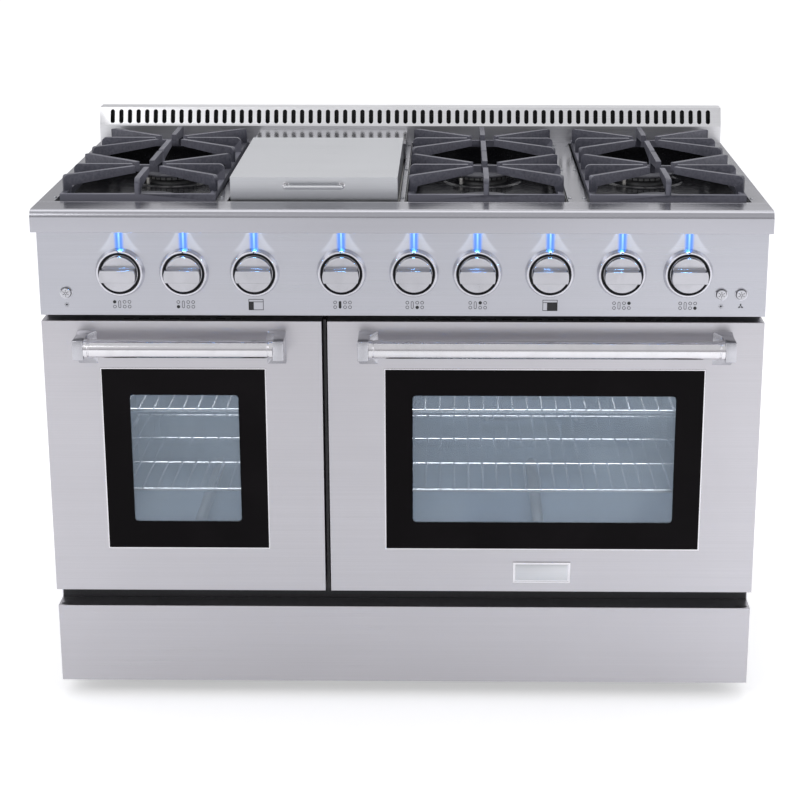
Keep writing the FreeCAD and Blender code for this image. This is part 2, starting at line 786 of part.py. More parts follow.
def convection_fan():
    """The right oven's fan: a perforated cover, a bladed wheel and its motor."""
    x, z = fan_x(), fan_z()
    half = "fan_cover_width / 2"
    wall = "sheet_metal"
    hollow = box("fan_cover_room", (f"{x} - {half} + {wall}", f"{x} + {half} - {wall}"),
                 (f"oven_back - fan_cover_depth + {wall}", "oven_back + fan_cover_depth"),
                 (f"{z} - {half} + {wall}", f"{z} + {half} - {wall}"))
    slots = []
    for row in range(-3, 4):
        level = f"{z} + {row} * fan_radius / 4"
        slots.append(box(f"fan_slot_{row + 3}", (f"{x} - fan_radius", f"{x} + fan_radius"),
                         ("oven_back - 2 * fan_cover_depth", "oven_back - fan_cover_depth / 2"),
                         (f"{level} - fan_slot_height / 2", f"{level} + fan_slot_height / 2")))
    blank = box("fan_cover_blank", (f"{x} - {half}", f"{x} + {half}"),
                ("oven_back - fan_cover_depth", "oven_back - fit_gap"),
                (f"{z} - {half}", f"{z} + {half}"))
    node(cut("fan_cover", blank, [hollow] + slots))

    middle = FreeCAD.Vector(size_of_fan_x(), size("oven_back") - size("fan_cover_depth") / 2,
                            size("oven_floor") + size("fan_level"))
    depth = size("fan_depth")
    y_axis = FreeCAD.Vector(0, 1, 0)
    near = middle - y_axis * depth / 2
    hub = Part.makeCylinder(size("fan_radius") / 4, depth, near, y_axis)
    disc = Part.makeCylinder(size("fan_radius") * 0.8, size("sheet_metal"),
                             near + y_axis * (depth - size("sheet_metal")), y_axis)
    blades = []
    for number in range(8):
        blade = Part.makeBox(size("fan_radius") * 0.8, depth, size("sheet_metal"),
                             FreeCAD.Vector(middle.x + size("fan_radius") / 5, near.y, middle.z))
        blade.rotate(middle, y_axis, number * 45)
        blades.append(blade)
    bore = Part.makeCylinder(size("fan_shaft_radius") + size("stem_clearance"), 2 * depth,
                             near - y_axis, y_axis)
    shape_node("fan_impeller", hub.multiFuse([disc] + blades).cut(bore))

    node(fuse("fan_motor", [
        rod("motor_case", "motor_radius", "motor_length", (x, "oven_back + oven_wall + fit_gap", z), ALONG),
        rod("motor_shaft", "fan_shaft_radius", "fan_cover_depth / 2 + fan_depth / 2 + 2 * oven_wall",
            (x, "oven_back - fan_cover_depth / 2 - fan_depth / 2", z), ALONG),
    ]))


def size_of_fan_x():
    """The middle of the convection fan as a number."""
    return (size("right_oven_start") + size("right_oven_end")) / 2


def tube_burners():
    """Gas tubes: a bake tube and a broil tube in each oven, and one under the griddle."""
    tubes = []
    length = "oven_depth - 2 * burner_tube_gap"
    for hand, (_, _, start, end, _) in DOORS.items():
        middle = f"({start} + {end}) / 2"
        tubes.append(rod(f"bake_tube_{hand}", "burner_tube_radius", length,
                         (middle, "frame_y + burner_tube_gap", "oven_floor + 2 * burner_tube_radius"),
                         ALONG))
        tubes.append(rod(f"broil_tube_{hand}", "burner_tube_radius", length,
                         (middle, "frame_y + burner_tube_gap", "oven_ceiling - 2 * burner_tube_radius"),
                         ALONG))
    tubes.append(rod("griddle_tube", "burner_tube_radius", "cover_depth - 2 * griddle_tube_gap",
                     ("griddle_module_x", "face_y + cover_front + griddle_tube_gap",
                      "hob_top - griddle_plate_drop - griddle_plate_thickness - 2 * burner_tube_radius"),
                     ALONG))
    node(group("tube_burners", tubes))


# --------------------------------------------------------------------------- hob
def modules():
    """Name, middle and width of the hob's four openings, as formulas."""
    return (
        ("left", "-outer_module_x", "module_width"),
        ("griddle", "griddle_module_x", "griddle_module_width"),
        ("middle", "middle_module_x", "module_width"),
        ("right", "outer_module_x", "module_width"),
    )


def across(middle, span, less="0"):
    """Limits either side of a middle."""
    return (f"({middle}) - ({span}) / 2 + ({less})", f"({middle}) + ({span}) / 2 - ({less})")


def bullnose():
    """The rounded rail along the front edge of the hob."""
    front = "-bullnose_proud"
    back = "bullnose_run - bullnose_proud - fit_gap"
    rail = padded("bullnose", "YZ_Plane", [[
        (front, "0"), (back, "0"), (back, "bullnose_height"), (front, "bullnose_height")]],
        "width", symmetric=True)
    at(rail, "0", "face_y", "bullnose_bottom")
    doc.recompute()
    pad = rail.Tip
    edge = next(
        f"Edge{number}" for number, line in enumerate(pad.Shape.Edges, start=1)
        if line.BoundBox.YMax < -size("bullnose_proud") + 1
        and line.BoundBox.ZMin > 1
        and line.BoundBox.XLength > 1)
    rounding = rail.newObject("PartDesign::Fillet", "bullnose_rounding")
    rounding.Base = (pad, [edge])
    bind(rounding, "Radius", "bullnose_round")
    rail.Tip = rounding
    hollow = box("bullnose_hollow", ("-half_width + bullnose_sheet", "half_width - bullnose_sheet"),
                 ("face_y + sheet_metal", "face_y + bullnose_run"),
                 ("bullnose_bottom - bullnose_sheet", "hob_top - bullnose_sheet"))
    rail.Label = "bullnose_bar"
    node(cut("bullnose_rail", rail, [hollow]), "bullnose")


def hob_frame():
    """The folded hob sheet with four openings, and the shelf behind the griddle."""
    plate = box("hob_plate", ("-half_width", "half_width"),
                ("face_y + bullnose_run - bullnose_proud", "guard_y"), ("hob_top - hob_sheet", "hob_top"))
    skirts = [
        box(f"hob_skirt_{hand}", span, ("face_y + bullnose_run - bullnose_proud", "guard_y"),
            ("bullnose_bottom", "hob_top"))
        for hand, span in (("left", ("-half_width", "-half_width + sheet_metal")),
                           ("right", ("half_width - sheet_metal", "half_width")))
    ]
    openings = [
        box(f"hob_opening_{name}", across(middle, span),
            ("face_y + hob_opening_front", "face_y + hob_opening_back"),
            ("hob_top - 2 * hob_sheet", "hob_top + hob_sheet"))
        for name, middle, span in modules()
    ]
    shelf_x = across("griddle_module_x", "griddle_module_width")
    shelf = cut("griddle_shelf", box(
        "shelf_blank", shelf_x, ("face_y + griddle_shelf_front", "guard_y"),
        ("hob_top - hob_sheet", "hob_top + griddle_shelf_height")), [
        box("shelf_room", across("griddle_module_x", "griddle_module_width", "sheet_metal"),
            ("face_y + griddle_shelf_front + sheet_metal", "guard_y - sheet_metal"),
            ("hob_top - 2 * hob_sheet", "hob_top + griddle_shelf_height - sheet_metal"))])
    deck = cut("hob_sheet_cut", fuse("hob_sheet_blank", [plate] + skirts), openings)
    node(fuse("hob_frame", [deck, shelf]))


def burner_pans():
    """Three enamelled trays that hang in the hob, one under each pair of burners."""
    trays = []
    for name, middle, span in modules():
        if name == "griddle":
            continue
        outer_x = across(middle, span, "fit_gap")
        room_x = across(middle, span, "fit_gap + tray_wall")
        trays.append(cut(f"tray_{name}", box(
            f"tray_blank_{name}", outer_x,
            ("face_y + hob_opening_front + fit_gap", "face_y + hob_opening_back - fit_gap"),
            ("tray_floor - tray_wall", "hob_top - hob_sheet")), [
                box(f"tray_room_{name}", room_x,
                    ("face_y + hob_opening_front + fit_gap + tray_wall",
                     "face_y + hob_opening_back - fit_gap - tray_wall"), ("tray_floor", "hob_top")),
                *[rod(f"tray_hole_{name}_{row}", "burner_bore_radius", "4 * tray_wall",
                      (middle, f"burner_{row}_y", "tray_floor - 2 * tray_wall"))
                  for row in ("front", "back")]]))
    node(group("burner_pans", trays))


def backguard():
    """A low upstand at the back: a plain foot, a lip and a leaning face of slots."""
    face = "guard_foot_height"
    guard = padded("backguard_bar", "YZ_Plane", [
        [("0", "0"), ("back_y - guard_y", "0"), ("back_y - guard_y", "guard_height"),
         ("guard_lean", "guard_height"), ("0", f"{face} + guard_lip"), ("0", face)]],
        "width", symmetric=True)
    at(guard, "0", "guard_y", "hob_top")
    room = padded("backguard_room", "YZ_Plane", [
        [("sheet_metal", "-sheet_metal"), ("back_y - guard_y - sheet_metal", "-sheet_metal"),
         ("back_y - guard_y - sheet_metal", "guard_height - sheet_metal"),
         ("guard_lean + sheet_metal", "guard_height - sheet_metal"),
         ("sheet_metal", f"{face} + guard_lip")]],
        "width - 2 * sheet_metal", symmetric=True)
    at(room, "0", "guard_y", "hob_top")
    count = math.floor((size("width") - 2 * size("slot_edge_margin")) / size("slot_pitch"))
    radius = size("slot_width") / 2
    middle_z = size("hob_top") + (size("guard_foot_height") + size("guard_lip") + size("guard_height")) / 2
    reach = size("guard_lean") + 6 * size("sheet_metal")
    straight = size("slot_length") - size("slot_width")
    start_y = size("guard_y") - size("sheet_metal")
    slots = []
    for number in range(count):
        x = (number - (count - 1) / 2) * size("slot_pitch")
        corner = FreeCAD.Vector(x - radius, start_y, middle_z - straight / 2)
        slots.append(Part.makeBox(2 * radius, reach, straight, corner))
        for end in (-1, 1):
            middle = FreeCAD.Vector(x, start_y, middle_z + end * straight / 2)
            slots.append(Part.makeCylinder(radius, reach, middle, FreeCAD.Vector(0, 1, 0)))
    cutter = doc.addObject("Part::Feature", "backguard_slots")
    cutter.Shape = slots[0].multiFuse(slots[1:])
    node(cut("backguard", guard, [room, cutter]))


def finger(length, height, arm, tip, root, corner, thickness):
    """A grate finger in its own plane: a foot with a rounded shoulder and a tapering arm."""
    bend = corner * math.sqrt(0.5)
    knee = FreeCAD.Vector(root * 1.6, 0, height - arm)
    outline_edges = [
        Part.LineSegment(FreeCAD.Vector(0, 0, 0), FreeCAD.Vector(0, 0, height - corner)),
        Part.Arc(FreeCAD.Vector(0, 0, height - corner),
                 FreeCAD.Vector(corner - bend, 0, height - corner + bend),
                 FreeCAD.Vector(corner, 0, height)),
        Part.LineSegment(FreeCAD.Vector(corner, 0, height), FreeCAD.Vector(length, 0, height)),
        Part.LineSegment(FreeCAD.Vector(length, 0, height), FreeCAD.Vector(length, 0, height - tip)),
        Part.LineSegment(FreeCAD.Vector(length, 0, height - tip), knee),
        Part.LineSegment(knee, FreeCAD.Vector(root, 0, 0)),
        Part.LineSegment(FreeCAD.Vector(root, 0, 0), FreeCAD.Vector(0, 0, 0)),
    ]
    wire = Part.Wire([edge.toShape() for edge in outline_edges])
    plate = Part.Face(wire).extrude(FreeCAD.Vector(0, thickness, 0))
    plate.translate(FreeCAD.Vector(0, -thickness / 2, 0))
    return plate


def grate(name):
    """A cast grate over two burners: a rail frame with fingers that point at each burner."""
    middle_x = size("outer_module_x") * (-1 if name == "left" else 1)
    if name == "middle":
        middle_x = size("middle_module_x")
    half = size("grate_width") / 2
    front = size("face_y") + size("grate_front")
    depth = size("grate_depth")
    low = size("grate_bottom")
    rail = size("grate_rail_width")
    rail_height = size("grate_rail_height")
    bar = size("grate_bar")
    height = size("grate_height")
    eye = size("grate_eye_radius")
    pieces = []
    for x in (middle_x - half, middle_x + half - rail):
        pieces.append(Part.makeBox(rail, depth, rail_height, FreeCAD.Vector(x, front, low)))
    for y in (front, front + (depth - rail) / 2, front + depth - rail):
        pieces.append(Part.makeBox(2 * half, rail, rail_height, FreeCAD.Vector(middle_x - half, y, low)))
    for row in (1, 3):
        centre = FreeCAD.Vector(middle_x, front + row * depth / 4, low)
        cell = depth / 4
        starts = [(side * half, spread * cell * 0.78) for side in (-1, 1) for spread in (-1, 0, 1)]
        starts += [(0, side * cell) for side in (-1, 1)]
        for x, y in starts:
            reach = math.hypot(x, y)
            plate = finger(reach - eye, height, size("grate_arm_height"), size("grate_tip_height"),
                           rail, size("grate_corner"), bar)
            angle = math.degrees(math.atan2(-y, -x))
            plate.rotate(FreeCAD.Vector(), FreeCAD.Vector(0, 0, 1), angle)
            plate.translate(centre + FreeCAD.Vector(x, y, 0))
            pieces.append(plate)
    limits = Part.makeBox(2 * half, depth, height, FreeCAD.Vector(middle_x - half, front, low))
    shape_node(f"grate_{name}", pieces[0].multiFuse(pieces[1:]).common(limits).removeSplitter())


def burner_spots(level):
    """Places of the six burner middles at a level."""
    return [
        (x, size(f"burner_{row}_y"), level)
        for x in (-size("outer_module_x"), size("middle_module_x"), size("outer_module_x"))
        for row in ("front", "back")
    ]


def burners():
    """Six burners: a ported aluminium head, an enamelled cap and a ceramic igniter."""
    head = turned("burner_head_pattern", [
        ("burner_bore_radius", "0"), ("burner_base_radius", "0"),
        ("burner_base_radius", "burner_head_height / 2"),
        ("burner_crown_radius", "burner_head_height / 2 + 2"), ("burner_crown_radius", "burner_head_height"),
        ("burner_bore_radius", "burner_head_height")])
    cap = turned("burner_cap_pattern", [
        ("0", "0"), ("burner_cap_radius - 3", "0"), ("burner_cap_radius", "3"),
        ("burner_cap_radius - 3", "burner_cap_height - 2"), ("burner_cap_radius - 12", "burner_cap_height"),
        ("0", "burner_cap_height")])
    floor = size("tray_floor")
    copies("burner_heads", head, burner_spots(floor))
    copies("burner_caps", cap, burner_spots(floor + size("burner_head_height")))
    offset = size("igniter_offset") * math.sqrt(0.5) + size("igniter_radius")
    rods = [
        Part.makeCylinder(size("igniter_radius"), size("igniter_height") * 0.6,
                          FreeCAD.Vector(x - offset, y - offset, z))
        for x, y, z in burner_spots(floor)
    ]
    shape_node("igniters", Part.makeCompound(rods))


def griddle():
    """A steel griddle plate in its module."""
    node(box("griddle_plate", across("griddle_module_x", "griddle_module_width", "2"),
             ("face_y + hob_opening_front + 2", "face_y + griddle_shelf_front - fit_gap"),
             ("hob_top - griddle_plate_drop - griddle_plate_thickness", "hob_top - griddle_plate_drop")))


def griddle_cover():
    """A lift-off box lid over the griddle, with a wire handle on its front face."""
    outer_x = across("griddle_module_x", "cover_width")
    front = "face_y + cover_front"
    low = "hob_top - cover_seat"
    shell = cut("cover_shell", box(
        "cover_blank", outer_x, (front, f"{front} + cover_depth"), (low, f"{low} + cover_height")), [
        box("cover_room", across("griddle_module_x", "cover_width", "cover_sheet"),
            (f"{front} + cover_sheet", f"{front} + cover_depth - cover_sheet"),
            (f"{low} - cover_sheet", f"{low} + cover_height - cover_sheet"))])
    level = f"{low} + cover_height - cover_handle_drop"
    reach = f"{front} - cover_handle_reach + cover_handle_radius"
    ends = across("griddle_module_x", "cover_handle_width", "cover_handle_radius")
    pieces = [shell, rod("cover_grip", "cover_handle_radius",
                         "cover_handle_width - 2 * cover_handle_radius", (ends[0], reach, level), ACROSS)]
    for number, x in enumerate(ends):
        pieces.append(rod(f"cover_arm_{number}", "cover_handle_radius",
                          "cover_handle_reach - cover_handle_radius + cover_sheet / 2",
                          (x, reach, level), ALONG))
        knuckle = doc.addObject("Part::Sphere", f"cover_knuckle_{number}")
        bind(knuckle, "Radius", "cover_handle_radius")
        at(knuckle, x, reach, level)
        pieces.append(knuckle)
    node(fuse("griddle_cover", pieces))


# --------------------------------------------------------------------------- controls
def control_panel():
    """The folded control fascia, open at its top and back, with holes for stems and buttons."""
    hollow = box("fascia_room", ("-half_width + sheet_metal", "half_width - sheet_metal"),
                 ("face_y + sheet_metal", "frame_y + sheet_metal"),
                 ("panel_bottom + sheet_metal", "bullnose_bottom + sheet_metal"))
    holes = [
        rod(f"stem_hole_{number}", "stem_hole_radius", "4 * sheet_metal",
            (f"knob_x_{number}", "face_y - sheet_metal", "knob_z"), ALONG)
        for number in range(1, len(KNOB_ROLES) + 1)
    ] + [
        rod(f"button_hole_{number}", "button_radius + button_clearance", "4 * sheet_metal",
            (f"button_x_{number}", "face_y - sheet_metal", "button_z"), ALONG)
        for number in range(1, len(BUTTON_ROLES) + 1)
    ]
    node(cut("control_panel", box(
        "fascia_blank", ("-half_width", "half_width"), ("face_y", "frame_y - fit_gap"),
        ("panel_bottom", "bullnose_bottom - fit_gap")), [hollow] + holes))


def knob(number):
    """A turned knob with a broad grip left standing across its face."""
    label = f"knob_{KNOB_ROLES[number - 1]}"
    bore = "stem_radius + stem_clearance"
    body = turned(label, [
        (bore, "0"), ("knob_radius", "0"), ("knob_radius", "knob_length"), ("0", "knob_length"),
        ("0", "knob_bore_depth"), (bore, "knob_bore_depth")])
    doc.recompute()
    side = "knob_radius + 2"
    half = "knob_grip_height / 2"
    cheeks = outline(body, label + "_cheeks", "XY_Plane", [
        [(f"-({side})", half), (side, half), (side, side), (f"-({side})", side)],
        [(f"-({side})", f"-({side})"), (side, f"-({side})"),
         (side, f"-({half})"), (f"-({side})", f"-({half})")],
    ], lift="knob_length")
    before = body.Shape.Volume
    milling = body.newObject("PartDesign::Pocket", label + "_milling")
    milling.Profile = cheeks
    bind(milling, "Length", "knob_length - knob_skirt_depth")
    doc.recompute()
    if body.Shape.Volume >= before:
        raise RuntimeError(label + " was not milled")
    body.Placement = FreeCAD.Placement(FreeCAD.Vector(), OUTWARD)
    at(body, f"knob_x_{number}", "face_y - knob_stand_off", "knob_z")
    node(body)


def knob_bezels():
    """Nine conical rings on the fascia, one round each knob."""
    ring = turned("bezel_pattern", [
        ("bezel_bore_radius", "0"), ("bezel_radius", "0"), ("bezel_lip_radius", "bezel_depth"),
        ("bezel_bore_radius", "bezel_depth")])
    doc.recompute()
    rings = []
    for number in range(1, len(KNOB_ROLES) + 1):
        turned_ring = ring.Shape.copy()
        turned_ring.rotate(FreeCAD.Vector(), FreeCAD.Vector(1, 0, 0), 90)
        turned_ring.translate(FreeCAD.Vector(size(f"knob_x_{number}"), size("face_y"), size("knob_z")))
        rings.append(turned_ring)
    shape_node("knob_bezels", Part.makeCompound(rings))


def gas_valves():
    """Nine brass valves behind the fascia, whose stems carry the knobs."""
    valves = []
    for number in range(1, len(KNOB_ROLES) + 1):
        x = f"knob_x_{number}"
        valves.append(fuse(f"valve_{number}", [
            rod(f"valve_case_{number}", "valve_radius", "valve_length",
                (x, "face_y + 4 * sheet_metal", "knob_z"), ALONG),
            rod(f"valve_stem_{number}", "stem_radius",
                "knob_bore_depth + knob_stand_off - 2 + 5 * sheet_metal",
                (x, "face_y - knob_stand_off - knob_bore_depth + 2", "knob_z"), ALONG)]))
    node(group("gas_valves", valves))


def buttons():
    """Three push buttons, each a round head on a narrower tail."""
    for number, role in enumerate(BUTTON_ROLES, start=1):
        x = f"button_x_{number}"
        node(fuse(f"button_{role}", [
            rod(f"button_head_{role}", "button_radius", "button_proud + 2 * sheet_metal",
                (x, "face_y - button_proud", "button_z"), ALONG),
            rod(f"button_tail_{role}", "button_radius / 2", "button_proud + button_tail",
                (x, "face_y - button_proud / 2", "button_z"), ALONG)]))


def gas_manifold():
    """The gas rail behind the valves with a branch to each hob burner."""
    rail_y = "face_y + manifold_back"
    pieces = [rod("manifold_rail", "manifold_radius", "width - 2 * foot_inset",
                  ("-half_width + foot_inset", rail_y, "knob_z"), ACROSS)]
    for name, x in GRATE_CENTRES.items():
        for row, shift in (("front", -14), ("back", 14)):
            pieces.append(rod(f"branch_{name}_{row}", "supply_tube_radius", f"burner_{row}_y - ({rail_y})",
                              (f"{x} + {shift}", rail_y, "knob_z"), ALONG))
            pieces.append(rod(f"riser_{name}_{row}", "1.4 * supply_tube_radius",
                              "tray_floor - knob_z - tray_wall + 2 * supply_tube_radius - 2 * fit_gap",
                              (f"{x} + {shift}", f"burner_{row}_y", "knob_z - 2 * supply_tube_radius")))
    node(fuse("gas_manifold", pieces))


def service_inlets():
    """The threaded gas inlet and the power inlet box, behind the hole in the back sheet."""
    level = "floor_gap + inlet_level"
    gas = fuse("gas_inlet", [
        rod("gas_stub", "inlet_radius", "inlet_length",
            ("inlet_x - 30", "back_y - inlet_length", level), ALONG),
        rod("gas_elbow", "1.4 * inlet_radius", "2 * inlet_radius",
            ("inlet_x - 30", f"back_y - inlet_length - inlet_radius", level), ALONG),
        rod("gas_pipe", "0.8 * inlet_radius", "60", ("inlet_x - 30", "back_y - inlet_length", level))])
    power = box("power_inlet", ("inlet_x + 20", "inlet_x + 20 + power_box_width"),
                ("back_y - 30", "back_y - 2"), (f"{level} - 18", f"{level} + 18"))
    node(group("service_inlets", [gas, power]))


# --------------------------------------------------------------------------- build and write
def build():
    """Make every sub-part."""
    outer_panels()
    base_frame()
    leveling_feet()
    kick_panel()
    front_frame()
    for hand in DOORS:
        door(hand)
        oven_cavity(hand)
        for level in ("low", "high"):
            oven_rack(hand, level)
    badge_plate()
    door_gaskets()
    oven_lamps()
    rack_guides()
    convection_fan()
    tube_burners()
    bullnose()
    hob_frame()
    burner_pans()
    backguard()
    for name in GRATE_CENTRES:
        grate(name)
    burners()
    griddle()
    griddle_cover()
    control_panel()
    for number in range(1, len(KNOB_ROLES) + 1):
        knob(number)
    knob_bezels()
    gas_valves()
    buttons()
    gas_manifold()
    service_inlets()


def check():
    """Stop if any object failed or any sub-part has no valid shape."""
    doc.recompute()
    for item in doc.Objects:
        if "Invalid" in item.State or "Error" in item.State:
            raise RuntimeError(f"{item.Label} failed: {item.State}")
    faulty = [
        item.Label for item in nodes
        if item.Shape.isNull() or not item.Shape.isValid() or item.Shape.Volume <= 0
    ]
    if faulty:
        raise RuntimeError(f"no valid shape: {faulty}")


def write():
    """Write one file for each sub-part."""
    os.makedirs("parts", exist_ok=True)
    for item in nodes:
        item.Shape.exportStep(f"parts/{item.Label}.step")


sizes = fill_sheet("Sizes", {name: str(value) for name, value in SIZES.items()})
places = fill_sheet("Places", {name: "=" + in_sheets(formula).replace("Places.", "")
                               for name, formula in PLACES.items()})
build()
check()
write()
print(len(nodes), "sub-parts written")
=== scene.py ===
"""Looks of a freestanding gas range with two ovens, six burners and a covered griddle.

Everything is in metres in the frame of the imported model: the floor is z 0, the front faces -Y
and +X is to the right of a person who faces the doors.
"""
import logging
import math
from dataclasses import dataclass, field
from enum import Enum
from typing import Iterable, Sequence

import bmesh
import bpy
from mathutils import Matrix, Vector


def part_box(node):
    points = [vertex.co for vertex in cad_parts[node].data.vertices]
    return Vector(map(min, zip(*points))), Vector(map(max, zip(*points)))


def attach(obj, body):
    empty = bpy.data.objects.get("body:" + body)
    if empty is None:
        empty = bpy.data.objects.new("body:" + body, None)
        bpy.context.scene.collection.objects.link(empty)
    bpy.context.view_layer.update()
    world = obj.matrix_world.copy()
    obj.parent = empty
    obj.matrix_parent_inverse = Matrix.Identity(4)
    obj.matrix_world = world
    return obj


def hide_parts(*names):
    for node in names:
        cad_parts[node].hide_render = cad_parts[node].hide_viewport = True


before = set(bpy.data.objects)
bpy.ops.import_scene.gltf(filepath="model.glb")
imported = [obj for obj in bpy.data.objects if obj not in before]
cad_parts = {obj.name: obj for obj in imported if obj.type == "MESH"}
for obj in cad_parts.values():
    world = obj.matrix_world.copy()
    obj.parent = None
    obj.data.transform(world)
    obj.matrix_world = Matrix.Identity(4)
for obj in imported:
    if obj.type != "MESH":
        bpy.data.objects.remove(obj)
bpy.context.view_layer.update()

log = logging.getLogger("gas_range")
Colour = tuple[float, float, float]
Socket = bpy.types.NodeSocket
Node = bpy.types.Node
BMesh = bmesh.types.BMesh
BMVert = bmesh.types.BMVert
BMEdge = bmesh.types.BMEdge
BMFace = bmesh.types.BMFace
Point = Sequence[float]
FLAT = 0.9  # a face whose normal has more than this along an axis faces that way


# ------------------------------------------------------------------------------ named options
class Axis(Enum):
    """The direction that a surface was brushed in."""

    X = (2.0, 700.0, 700.0)
    Y = (700.0, 2.0, 700.0)
    Z = (700.0, 700.0, 2.0)


class Hand(Enum):
    """Which of the two ovens a part belongs to."""

    LEFT = "left"
    RIGHT = "right"


class Mark(Enum):
    """Which sign of a control's diagram is filled in."""

    BACK_LEFT = (0, 1)
    FRONT_LEFT = (0, -1)
    GRIDDLE = (1, 0)
    FRONT_MIDDLE = (2, -1)
    BACK_MIDDLE = (2, 1)
    BACK_RIGHT = (3, 1)
    FRONT_RIGHT = (3, -1)
    OVEN_LEFT = (-1, -1)
    OVEN_RIGHT = (-1, 1)


class Side(Enum):
    """The way that a flat fitting faces, as the turn that takes +Z there."""

    FRONT = Matrix.Rotation(math.radians(90), 4, "X")
    BACK = Matrix.Rotation(math.radians(-90), 4, "X")
    LEFT = Matrix.Rotation(math.radians(-90), 4, "Y")
    RIGHT = Matrix.Rotation(math.radians(90), 4, "Y")
    TOP = Matrix.Identity(4)

    def at(self, spot: Point) -> Matrix:
        """The placement of a fitting that faces this way from a spot."""
        return Matrix.Translation(spot) @ self.value


# ------------------------------------------------------------------------------ shader helpers
class Graph:
    """A node tree that is filled one node at a time."""

    def __init__(self, tree: bpy.types.NodeTree) -> None:
        """Keeps the tree that is filled."""
        self.tree = tree

    def add(self, kind: str, inputs: dict | None = None, **settings: object) -> Node:
        """Adds one node.

        Args:
            kind: the node's type, without its ShaderNode prefix.
            inputs: values or sockets for its inputs, by name or by number.
            settings: the node's own options.

        Returns:
            The new node.
        """
        node = self.tree.nodes.new("ShaderNode" + kind)
        for key, value in settings.items():
            setattr(node, key, value)
        self.wire(node, inputs or {})
        return node

    def wire(self, node: Node, inputs: dict) -> None:
        """Sets or links inputs of a node, each given as a value or a socket."""
        for key, value in inputs.items():
            if isinstance(value, Socket):
                self.tree.links.new(value, node.inputs[key])
            else:
                node.inputs[key].default_value = value

    def math(self, operation: str, first: object, second: object = 0.0) -> Socket:
        """Works out one number from two, each a value or a socket."""
        return self.add("Math", {0: first, 1: second}, operation=operation).outputs[0]

    def times(self, first: object, second: object) -> Socket:
        """Multiplies two numbers."""
        return self.math("MULTIPLY", first, second)

    def plus(self, first: object, second: object) -> Socket:
        """Adds two numbers."""
        return self.math("ADD", first, second)

    def parts(self, vector: Socket) -> Sequence[Socket]:
        """The three numbers of a vector."""
        return self.add("SeparateXYZ", {0: vector}).outputs

    def bump(self, height: Socket, distance: float, strength: float) -> Socket:
        """The normal of a surface with a height, in metres."""
        return self.add("Bump", {"Height": height, "Distance": distance, "Strength": strength}).outputs[0]

    def span(self, value: object, low: float, high: float, to_low: float = 0.0,
             to_high: float = 1.0) -> Socket:
        """Maps a value smoothly from one range to another.

        Args:
            value: the socket that is read.
            low: where the range starts.
            high: where the range ends.
            to_low: the result at the start.
            to_high: the result at the end.

        Returns:
            The socket with the result.
        """
        inputs = {0: value, 1: low, 2: high, 3: to_low, 4: to_high}
        return self.add("MapRange", inputs, interpolation_type="SMOOTHSTEP").outputs[0]

    def mix(self, factor: object, first: object, second: object) -> Socket:
        """Blends two colours, each a tuple or a socket."""
        ends = [c if isinstance(c, Socket) else (*c, 1.0) for c in (first, second)]
        return self.add("Mix", {0: factor, 6: ends[0], 7: ends[1]}, data_type="RGBA").outputs[2]

    def place(self, scale: Point = (1.0, 1.0, 1.0)) -> Socket:
        """Object coordinates, stretched by a scale."""
        coords = self.add("TexCoord").outputs["Object"]
        return self.add("Mapping", {"Vector": coords, "Scale": tuple(scale)}).outputs[0]

    def noise(self, vector: object, scale: float, detail: float = 2.0) -> Socket:
        """A soft noise value at a number of patches per metre."""
        return self.add("TexNoise", {"Vector": vector, "Scale": scale, "Detail": detail}).outputs[0]

    def effect(self, shared: "Effect", **inputs: object) -> Node:
        """Places a shared effect with this material's own values."""
        node = self.tree.nodes.new("ShaderNodeGroup")
        node.node_tree = shared.group()
        self.wire(node, {key.title(): value for key, value in inputs.items()})
        return node

    def smudges(self, scale: float) -> Socket:
        """The shared smudges, at a number of patches per metre."""
        return self.effect(SOFT_SMUDGES, vector=self.place(), scale=scale).outputs[0]


@dataclass(frozen=True)
class Effect:
    """A shader node group that several finishes share.

    Attributes:
        name: the group's name.
        inputs: default value of each named input; None stands for a vector.
        outputs: names of its outputs, which are all numbers.
    """

    name: str
    inputs: tuple[tuple[str, float | None], ...]
    outputs: tuple[str, ...]

    def fill(self, graph: Graph, entry: Node) -> Sequence[Socket]:
        """Builds the effect's nodes and returns a socket for each output."""
        raise NotImplementedError

    def group(self) -> bpy.types.NodeTree:
        """Makes the group the first time it is asked for, and finds it afterwards."""
        made = bpy.data.node_groups.get(self.name)
        if made:
            return made
        made = bpy.data.node_groups.new(self.name, "ShaderNodeTree")
        for name, value in self.inputs:
            kind = "NodeSocketVector" if value is None else "NodeSocketFloat"
            socket = made.interface.new_socket(name=name, in_out="INPUT", socket_type=kind)
            if value is not None:
                socket.default_value = value
        for name in self.outputs:
            made.interface.new_socket(name=name, in_out="OUTPUT", socket_type="NodeSocketFloat")
        entry = made.nodes.new("NodeGroupInput")
        leaving = made.nodes.new("NodeGroupOutput")
        for name, socket in zip(self.outputs, self.fill(Graph(made), entry)):
            made.links.new(socket, leaving.inputs[name])
        return made


class BrushedGrain(Effect):
    """Fine straight scratches with broader bands between them."""

    def fill(self, graph: Graph, entry: Node) -> Sequence[Socket]:
        """Two noises on coordinates that the finish has already stretched."""
        vector = entry.outputs["Vector"]
        fine = graph.noise(vector, 1.6, 3.0)
        broad = graph.noise(vector, 0.12, 2.0)
        return [graph.plus(graph.times(fine, 0.7), graph.times(broad, 0.3))]


class SoftSmudges(Effect):
    """Cloudy patches left by cleaning and hands."""

    def fill(self, graph: Graph, entry: Node) -> Sequence[Socket]:
        """One warped noise, pushed towards clean and smudged."""
        scale = entry.outputs["Scale"]
        inputs = {"Vector": entry.outputs["Vector"], "Scale": scale, "Detail": 3.0, "Distortion": 0.6}
        cloud = graph.add("TexNoise", inputs)
        return [graph.span(cloud.outputs[0], 0.4, 0.72)]


